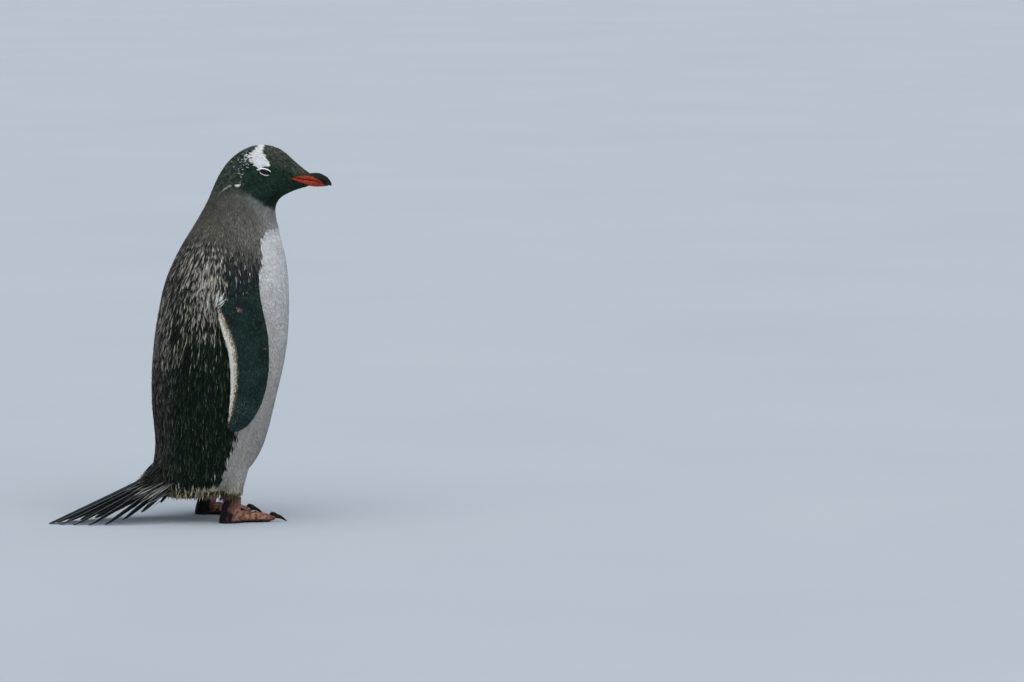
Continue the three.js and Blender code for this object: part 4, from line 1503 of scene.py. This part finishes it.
def vane_across(t, v, out):
    waves = 0.5 + 0.5 * np.sin(t * 61 + 9 * out + v)
    ragged = 1 - 0.10 * (np.abs(v) > 0.9) * waves * smoothstep(t, 0.3, 0.8)
    return v * vane_half(t, out) * ragged * (1 - (t > 0.995) * 0.6)


def vane_height(t, v, *_):
    return -0.9 * np.abs(v) ** 1.4 + 0.15 * np.sin(v * 9 + 7 * t)


def shaft_across(t, v, _):
    return v * mix(1.0, 0.35, t)


def shaft_height(t, _, w, *__):
    return 0.25 + w * mix(0.9, 0.35, t)


print("the middle feather's tip is at", np.round(tail_line(1, 0)[2], 1))

# %% Lay out the fan and paint it
def paint_quill(obj, is_shaft, dice):
    """Blue-black vanes with a worn pale edge, and a glossy dark shaft, in the attribute of the plumage."""
    mesh = obj.data
    count = len(mesh.vertices)
    tone = 1 + 0.10 * dice.normal()
    base = np.tile(linear("1b2124") if is_shaft else linear("0f1518"), (count, 1)) * tone
    if not is_shaft:
        v = np.abs(corners(vane.data)[:, 1])
        base = blend(base, linear("757c7d"), (v > 0.99) * 0.55)
        base = base * (1 + 0.12 * dice.normal(0, 1, count))[:, None]
    painted(mesh, base)


vanes, shafts = [], []
dice = np.random.default_rng(40)
for rank in reversed(range(TAIL_PAIRS)):
    for side in SIDES.values():
        line = tail_line(side, rank)
        vanes.append(laid_along(vane, "vane_copy", line, side, vane_across, vane_height))
        paint_quill(vanes[-1], False, dice)
        shafts.append(laid_along(shaft, "shaft_copy", line, side, shaft_across, shaft_height))
        paint_quill(shafts[-1], True, dice)
for source in (vane, shaft):
    bpy.data.objects.remove(source)
fan = join(vanes, "tail_vanes")
apply(fan, "SOLIDIFY", thickness=0.0006, offset=0)
fan = join([fan, *shafts], "tail_feathers")
edited(fan, bpy.ops.mesh.remove_doubles, threshold=1e-6)
edited(fan, bpy.ops.mesh.normals_make_consistent, inside=False)
bpy.ops.object.shade_smooth_by_angle(angle=math.radians(50))
print("tail feathers", len(fan.data.polygons), "faces")

# %% [markdown]
# The barbs of a vane run forward and out from the shaft. They are far too fine to model, so a wave
# along the vane's own map, mirrored at the shaft, gives them as a bump.

# %% The finish of tail feathers
def add_bump(tree, shader, height, strength, distance):
    bump = add_node(tree, "Bump", Height=height, Strength=strength, Distance=distance)
    tree.links.new(bump.outputs["Normal"], shader.inputs["Normal"])


def quill_finish():
    material = plumage_finish("quill", 600, 0.25, (0.4, 0.65), 0.16, 0.0)
    tree = material.node_tree
    shader = tree.nodes["Principled BSDF"]
    flat = add_node(tree, "UVMap")
    flat.uv_map = "UVMap"
    parts = add_node(tree, "SeparateXYZ", Vector=flat.outputs["UV"])
    off_shaft = value_node(tree, "ABSOLUTE", value_node(tree, "SUBTRACT", parts.outputs["Y"], 0.5))
    slant = value_node(tree, "MULTIPLY", off_shaft, -60.0)
    along = value_node(tree, "MULTIPLY_ADD", parts.outputs["X"], 160.0, slant)
    ridges = value_node(tree, "SINE", value_node(tree, "MULTIPLY", along, 2.2))
    add_bump(tree, shader, ridges, 0.35, 0.0003)
    return material


fan.data.materials.clear()
fan.data.materials.append(quill_finish())
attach(fan, "root")
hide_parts("tail")
print("tail finished")

# %% [markdown]
# ## The bill
#
# A bird's bill is two bones in a sheath of horn. On a gentoo the sheath is black along the top and at
# the tip, with a bright orange side, and the orange runs back over the cheek as two narrow strips that
# meet at the gape, below the eye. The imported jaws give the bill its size. For each jaw a ball is drawn
# out into a strip along either cheek, and jaw and strips are remeshed together.

# %% Helpers to round a copied solid
def rounded(points, edges, turns):
    """Evens facets out without shrinking: each step in is followed by one a little further out."""
    for _ in range(turns):
        points = even_out(points, edges, 1, 1.0)
        points = even_out(points, edges, 1, -1.03)
    return points


def remeshed(obj, voxel, turns):
    apply(obj, "REMESH", mode="VOXEL", voxel_size=voxel)
    set_corners(obj.data, rounded(corners(obj.data), edges_of(obj.data), turns))
    keep_largest(obj)
    obj.data.materials.clear()
    pick(obj)
    bpy.ops.object.shade_smooth()
    return obj


def side_on(drawn_x, drawn_z, side, walls):
    """Half breadth of the head and bill at a place seen from the side, in mm on the drawing."""
    far = to_frame([[drawn_x, side * 80, drawn_z]])[0]
    mid = to_frame([[drawn_x, 0, drawn_z]])[0]
    ray = Vector(mid - far).normalized()
    hits = [wall.ray_cast(Vector(far), ray, 0.09) for wall in walls]
    near = [hit[3] for hit in hits if hit[0] is not None]
    return 80 - min(near) / MM if near else 0.0


print("the cheek is", round(side_on(165, 514, -1, face_walls), 1), "mm out at the strips")

# %% Strips of horn along the cheeks
# For each jaw: places x along the cheek, and the strip's lower and upper edge there, on the drawing.
STRIPS = {
    "bill_upper": ([157, 161, 166, 172, 178, 184, 190, 197],
                   [517.0, 516.4, 515.7, 514.7, 513.6, 512.6, 511.0, 509.4],
                   [518.2, 519.4, 520.4, 520.5, 519.9, 518.8, 517.6, 515.4]),
    "bill_lower": ([148, 154, 160, 166, 172, 178, 184, 190, 197],
                   [516.9, 515.1, 512.5, 510.2, 508.2, 506.3, 504.2, 503.4, 503.2],
                   [517.6, 517.6, 517.0, 515.4, 514.2, 513.1, 512.0, 510.5, 509.0]),
}


def cheek_strip(jaw, side):
    strip = local_spindle("strip", 20, 40)
    t, v, w = corners(strip.data).T
    stations, lower_edge, upper_edge = STRIPS[jaw]
    x = mix(stations[0], stations[-1], t)
    low, high = np.interp(x, stations, lower_edge), np.interp(x, stations, upper_edge)
    middle = [(a + b) / 2 for a, b in zip(lower_edge, upper_edge)]
    out = np.array([side_on(s, m, side, face_walls) for s, m in zip(stations, middle)])
    ring = np.sqrt(np.maximum(1 - (2 * t - 1) ** 2, 1e-6))
    full = ring**-0.45  # keeps the strip's breadth for longer than a ball does
    z = (low + high) / 2 + (high - low) / 2 * w * full
    y = np.interp(x, stations, out) + 0.2 + 1.5 * v * full * smoothstep(x, 142, 175)
    set_corners(strip.data, to_frame(np.stack([x, side * y, z], 1)))
    return edited(strip, bpy.ops.mesh.normals_make_consistent, inside=False)


print({jaw: round(rows[0][-1] - rows[0][0]) for jaw, rows in STRIPS.items()}, "mm of strip")

# %% [markdown]
# The markings of the bill are lines on the drawing again: the black runs down to a curved edge along the
# upper jaw, a thin dark seam parts the jaws, and each nostril is a narrow slit.

# %% The colours of horn
# The seam between the jaws at the places of the lower strip, and the lower edge of the black above.
SEAM_Z = [517.1, 516.9, 516.4, 515.5, 514.4, 513.3, 512.2, 510.7, 509.1]
BLACK_X = [150, 162, 169, 178, 184, 190, 195, 199, 202, 205]
BLACK_Z = [517.6, 518.6, 520.3, 520.0, 518.0, 516.2, 513.8, 510.8, 507.4, 502.0]


def horn_tone(drawn, jaw):
    """Black ridge and tip, orange side, with brown where the two run into each other."""
    x, _, z = drawn.T
    uneven = wander(drawn * [0.35, 1, 1], 3, 51)
    orange = blend(linear("84280f"), linear("a8401f"), 0.5 + 0.5 * uneven)
    orange = blend(orange, linear("7c1e0c"), 0.6 * smoothstep(wander(drawn * [0.2, 1, 1], 1.8, 52), 0.2, 1.0))
    black = blend(linear("040506"), linear("0c0f11"), 0.4 + 0.4 * wander(drawn, 5, 53))
    olive = blend(linear("1c1c13"), linear("48442f"), 0.5 + 0.5 * wander(drawn, 2.5, 54))
    glint = np.exp(-(((z - 516.4 + 0.26 * (x - 190)) / 0.9) ** 2))
    glint = glint * smoothstep(x, 180, 188) * smoothstep(-x, -202, -197)
    orange = blend(orange, linear("b07a66"), 0.6 * glint * (0.6 + 0.4 * wander(drawn * [0.4, 1, 1], 1.6, 55)))
    dark = smoothstep(z - np.interp(x, BLACK_X, BLACK_Z) + 0.5 * uneven, -0.9, 0.9) * (jaw == "bill_upper")
    dark = np.maximum(dark, smoothstep(x + 0.8 * uneven + 0.3 * (z - 505), 202.5, 207.5))
    tint = blend(orange, black, dark)
    tip = smoothstep(x - 0.2 * (z - 505), 203, 208) * smoothstep(-z, -511, -507)
    tint = blend(tint, olive, 0.4 * tip)
    seam = np.interp(x, STRIPS["bill_lower"][0], SEAM_Z)
    near = np.exp(-(((z - seam) / 0.7) ** 2)) * smoothstep(x, 158, 172)
    tint = blend(tint, linear("2a1510"), 0.75 * near)
    slit = np.exp(-(((x - 184) / 4) ** 2) - ((z - 519.0 + 0.18 * (x - 184)) / 0.55) ** 2)
    tint = blend(tint, linear("0c0a0a"), 0.85 * slit * (jaw == "bill_upper"))
    return np.clip(tint, 0.002, 0.95)


print("the side of the bill is", np.round(horn_tone(np.array([[190.0, 10, 507]]), "bill_lower")[0], 2))

# %% [markdown]
# Jaw and strips are joined, remeshed and evened out, and then the ridge and the hook are filled out.

# %% Both jaws in horn
def fuller_tip(drawn, jaw):
    """The ridge of the bill is well arched, and its blunt hook closes over the tip of the lower jaw."""
    x, y, z = drawn.T
    middle = np.interp(x, [196, 206, 215], [509, 506.5, 504.5])
    arch = smoothstep(x, 184, 200) * np.clip((z - middle) / 4, 0, 1)
    hook = smoothstep(x, 206, 211.5) * np.clip((middle + 1.5 - z) / 3, 0, 1)
    z = z + 1.8 * arch - (1.6 if jaw == "bill_upper" else 0.4) * hook
    near = smoothstep(x, 202, 213)
    return np.stack([x + (1.4 if jaw == "bill_upper" else 0.3) * near, y * (1 + 0.3 * near), z], 1)


HORN_VOXEL = 0.00055
jaws = {}
for jaw in STRIPS:
    strips = [cheek_strip(jaw, side) for side in SIDES.values()]
    solid = join([merged_copy(jaw, jaw + "_horn"), *strips], jaw + "_horn")
    jaws[jaw] = remeshed(solid, HORN_VOXEL, 14)
    points = to_frame(fuller_tip(to_drawing(corners(solid.data)), jaw))
    set_corners(solid.data, rounded(points, edges_of(solid.data), 8))
    drawn = to_drawing(corners(solid.data))
    painted(solid.data, horn_tone(drawn, jaw))
print({name: len(obj.data.polygons) for name, obj in jaws.items()})

# %% The finish of horn
def horn_finish(name, rough, bump):
    """Smooth horn with fine lines along it, from noise stretched along the bill."""
    material = plumage_finish(name, 1800, 0.12, rough, 0.12, 0.0)
    tree = material.node_tree
    shader = tree.nodes["Principled BSDF"]
    stretch = add_node(tree, "Mapping", Vector=object_place(tree), Scale=(120, 900, 900))
    lines = add_node(tree, "TexNoise", Vector=stretch.outputs["Vector"], Scale=1.0, Detail=3)
    add_bump(tree, shader, lines.outputs["Fac"], bump, 0.0004)
    return material


bill_horn = horn_finish("bill_horn", (0.22, 0.42), 0.35)
for jaw, slot in (("bill_upper", "bill_ridge"), ("bill_lower", "bill")):
    jaws[jaw].data.materials.append(bill_horn)
    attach(jaws[jaw], "root")
    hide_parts(jaw)
print("bill finished")

# %% [markdown]
# ## The eyes
#
# Each eye is a whole ball, set as deep as a real one, and only its outer part shows between the lids.
# The iris is a dark reddish brown round a black pupil, under a clear wet cornea, which here is a thin
# gloss over the paint. The cornea bulges a little from the ball. The lids are a ring of bare white skin.

# %% Eyeballs
EYE_RADIUS, IRIS_RADIUS, PUPIL_RADIUS = 9.5, 5.6, 1.9  # in mm
CORNEA_RADIUS, CORNEA_RISE = 4.2, 0.7


def eyeball(name, side):
    low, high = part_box("eye_" + name)
    middle = (Vector(low) + Vector(high)) / 2
    deselect()
    bpy.ops.mesh.primitive_uv_sphere_add(segments=64, ring_count=48, radius=EYE_RADIUS * MM)
    ball = bpy.context.object
    ball.name = "eyeball_" + name
    axis = to_frame([[EYE[0], side * 80, EYE[1]]])[0] - to_frame([[EYE[0], 0, EYE[1]]])[0]
    points = corners(ball.data)
    turn = Vector((0, 0, 1)).rotation_difference(Vector(axis).normalized()).to_matrix()
    off = np.hypot(points[:, 0], points[:, 1]) / MM
    front = points[:, 2] > 0
    points[:, 2] += front * CORNEA_RISE * MM * np.exp(-((off / CORNEA_RADIUS) ** 4))
    turned = points @ np.array(turn).T
    set_corners(ball.data, turned + np.array(middle))
    spokes = np.sin(np.arctan2(points[:, 1], points[:, 0]) * 24) * 0.5 + 0.5
    iris = blend(linear("0d0604"), linear("1a0d08"), spokes)
    tint = np.where((off < PUPIL_RADIUS)[:, None], linear("020202"), iris)
    tint = np.where(((off > IRIS_RADIUS) | ~front)[:, None], linear("060404"), tint)
    painted(ball.data, tint)
    pick(ball)
    bpy.ops.object.shade_smooth()
    return ball


print("the pupil is", 2 * PUPIL_RADIUS, "mm across and the iris", 2 * IRIS_RADIUS)

# %% [markdown]
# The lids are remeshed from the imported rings, thinned a little, and drawn closer together over the ball.

# %% Lids, and both eyes set
wet_eye = plumage_finish("wet_eye", 1500, 0.15, (0.10, 0.16), 0.0, 0.0)
wet_eye.node_tree.nodes["Principled BSDF"].inputs["Coat Weight"].default_value = 0.45
wet_eye.node_tree.nodes["Principled BSDF"].inputs["Coat Roughness"].default_value = 0.02
lid_skin = plumage_finish("lid_skin", 2500, 0.08, (0.35, 0.55), 0.35, 0.0)
LID_FLATTER, LID_THINNER, LID_VOXEL = 0.88, 0.00036, 0.00032


def flatter_lids(drawn, side):
    """The lids close a little more over the ball: the ring is drawn in across and stays on the eye."""
    along, across = eye_axes(drawn)
    lower = across * LID_FLATTER
    bulge = [np.sqrt(np.maximum((EYE_RADIUS + 4) ** 2 - along**2 - v**2, 1)) for v in (across, lower)]
    x = EYE[0] + along * math.cos(LID_TILT) - lower * math.sin(LID_TILT)
    z = EYE[1] + along * math.sin(LID_TILT) + lower * math.cos(LID_TILT)
    return np.stack([x, drawn[:, 1] + side * (bulge[1] - bulge[0]), z], 1)


for name, side in SIDES.items():
    ball = eyeball(name, side)
    ball.data.materials.append(wet_eye)
    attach(ball, "root")
    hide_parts("eye_" + name)
    ring = remeshed(merged_copy("eyelid_" + name, "lids_" + name), LID_VOXEL, 8)
    apply(ring, "DISPLACE", strength=-LID_THINNER, mid_level=0)
    drawn = flatter_lids(to_drawing(corners(ring.data)), side)
    set_corners(ring.data, to_frame(drawn))
    shade = 1 + 0.06 * wander(drawn, 2.5, 60)
    painted(ring.data, linear("e9ecee") * shade[:, None])
    ring.data.materials.append(lid_skin)
    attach(ring, "root")
    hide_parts("eyelid_" + name)
print("eyes set", EYE_RADIUS, "mm in radius")

# %% [markdown]
# ## Feet and claws
#
# A penguin stands on broad webbed feet, covered with small scales that are largest on top of the toes.
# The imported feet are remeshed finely, rounded, and then raised by a pattern of cells. The skin is a dull
# pink, blackish underneath and up the back of the leg.

# %% Scales and colours of the feet
SCALE_SIZE, SCALE_RISE = 0.0042, 0.0011
HEEL_X = {"right": 30, "left": 16}


def scale_pattern():
    cells = bpy.data.textures.new("scale_cells", "VORONOI")
    cells.noise_scale = SCALE_SIZE
    cells.weight_1, cells.weight_2 = -1, 1
    cells.noise_intensity = 1.2
    return cells


def foot_tone(drawn, name):
    x, y, z = drawn.T
    uneven = wander(drawn, 9, 71)
    pink = blend(linear("5d3a2f"), linear("9f7364"), 0.5 + 0.5 * uneven)
    pink = blend(pink, linear("38211c"), 0.7 * smoothstep(wander(drawn, 4, 72), 0.1, 1.0))
    pink = blend(pink, linear("2c1a15"), 0.6 * smoothstep(wander(drawn, 2.2, 73), 0.2, 1.0))
    pink = blend(pink, linear("553c32"), 0.5 * smoothstep(z, 12, 30))
    heel = HEEL_X[name]
    stripe = smoothstep(-(x - heel) + 5 * uneven, -24, -14) * smoothstep(SIDES[name] * y, 30, 40)
    stripe = np.maximum(stripe, smoothstep(-(x - heel) + 2 * uneven, -10, -2))
    stripe = stripe * (1 - 0.15 * smoothstep(z, 30, 40))
    soot = blend(linear("080706"), linear("14110f"), 0.5 + 0.5 * uneven)
    tint = blend(pink, soot, np.clip(stripe * 1.1 + 0.1 * uneven * stripe, 0, 1))
    sole = smoothstep(-z + 1.2 * uneven, -5.5, -2.5)
    return np.clip(blend(tint, linear("191716"), sole), 0.002, 0.95)


print("the top of a foot is", np.round(foot_tone(np.array([[60.0, -50, 15]]), "right")[0], 2))

# %% [markdown]
# The same steps make each foot and each claw, and nothing is left under the floor.

# %% Feet and claws
FOOT_VOXEL, CLAW_VOXEL = 0.0009, 0.00045


def slimmer_shank(drawn):
    """Draws the shank in towards its own axis, so that the wisps of the leg hang clear of it."""
    top = drawn[drawn[:, 2] > 30].mean(0)
    share = 0.06 * smoothstep(drawn[:, 2], 13, 32)[:, None]
    moved = drawn * [1, 1, 0] * (1 - share) + top * [1, 1, 0] * share
    return moved + drawn * [0, 0, 1]


def above_floor(obj):
    """Lifts what has sunk under the floor, and gives all the corners."""
    points = corners(obj.data)
    points[:, 2] = np.maximum(points[:, 2], 0)
    set_corners(obj.data, points)
    return points


cells = scale_pattern()
foot_skin = plumage_finish("foot_skin", 1100, 0.22, (0.5, 0.75), 0.14, 0.0)
claw_horn = horn_finish("claw_horn", (0.2, 0.4), 0.3)
for name in SIDES:
    foot = remeshed(merged_copy("foot_" + name, "foot_skin_" + name), FOOT_VOXEL, 22)
    set_corners(foot.data, to_frame(slimmer_shank(to_drawing(corners(foot.data)))))
    apply(foot, "DISPLACE", texture=cells, texture_coords="LOCAL", strength=SCALE_RISE, mid_level=0.35)
    painted(foot.data, foot_tone(to_drawing(above_floor(foot)), name))
    foot.data.materials.append(foot_skin)
    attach(foot, "root")
    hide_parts("foot_" + name)
    for digit in ("outer", "middle", "inner", "hallux"):
        node = "claw_{}_{}".format(name, digit)
        claw = remeshed(merged_copy(node, node + "_horn"), CLAW_VOXEL, 12)
        shade = 1 + 0.2 * wander(to_drawing(above_floor(claw)), 3, 80)
        painted(claw.data, linear("17140f") * shade[:, None])
        claw.data.materials.append(claw_horn)
        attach(claw, "root")
        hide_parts(node)
    print("foot", name, len(foot.data.polygons), "faces")
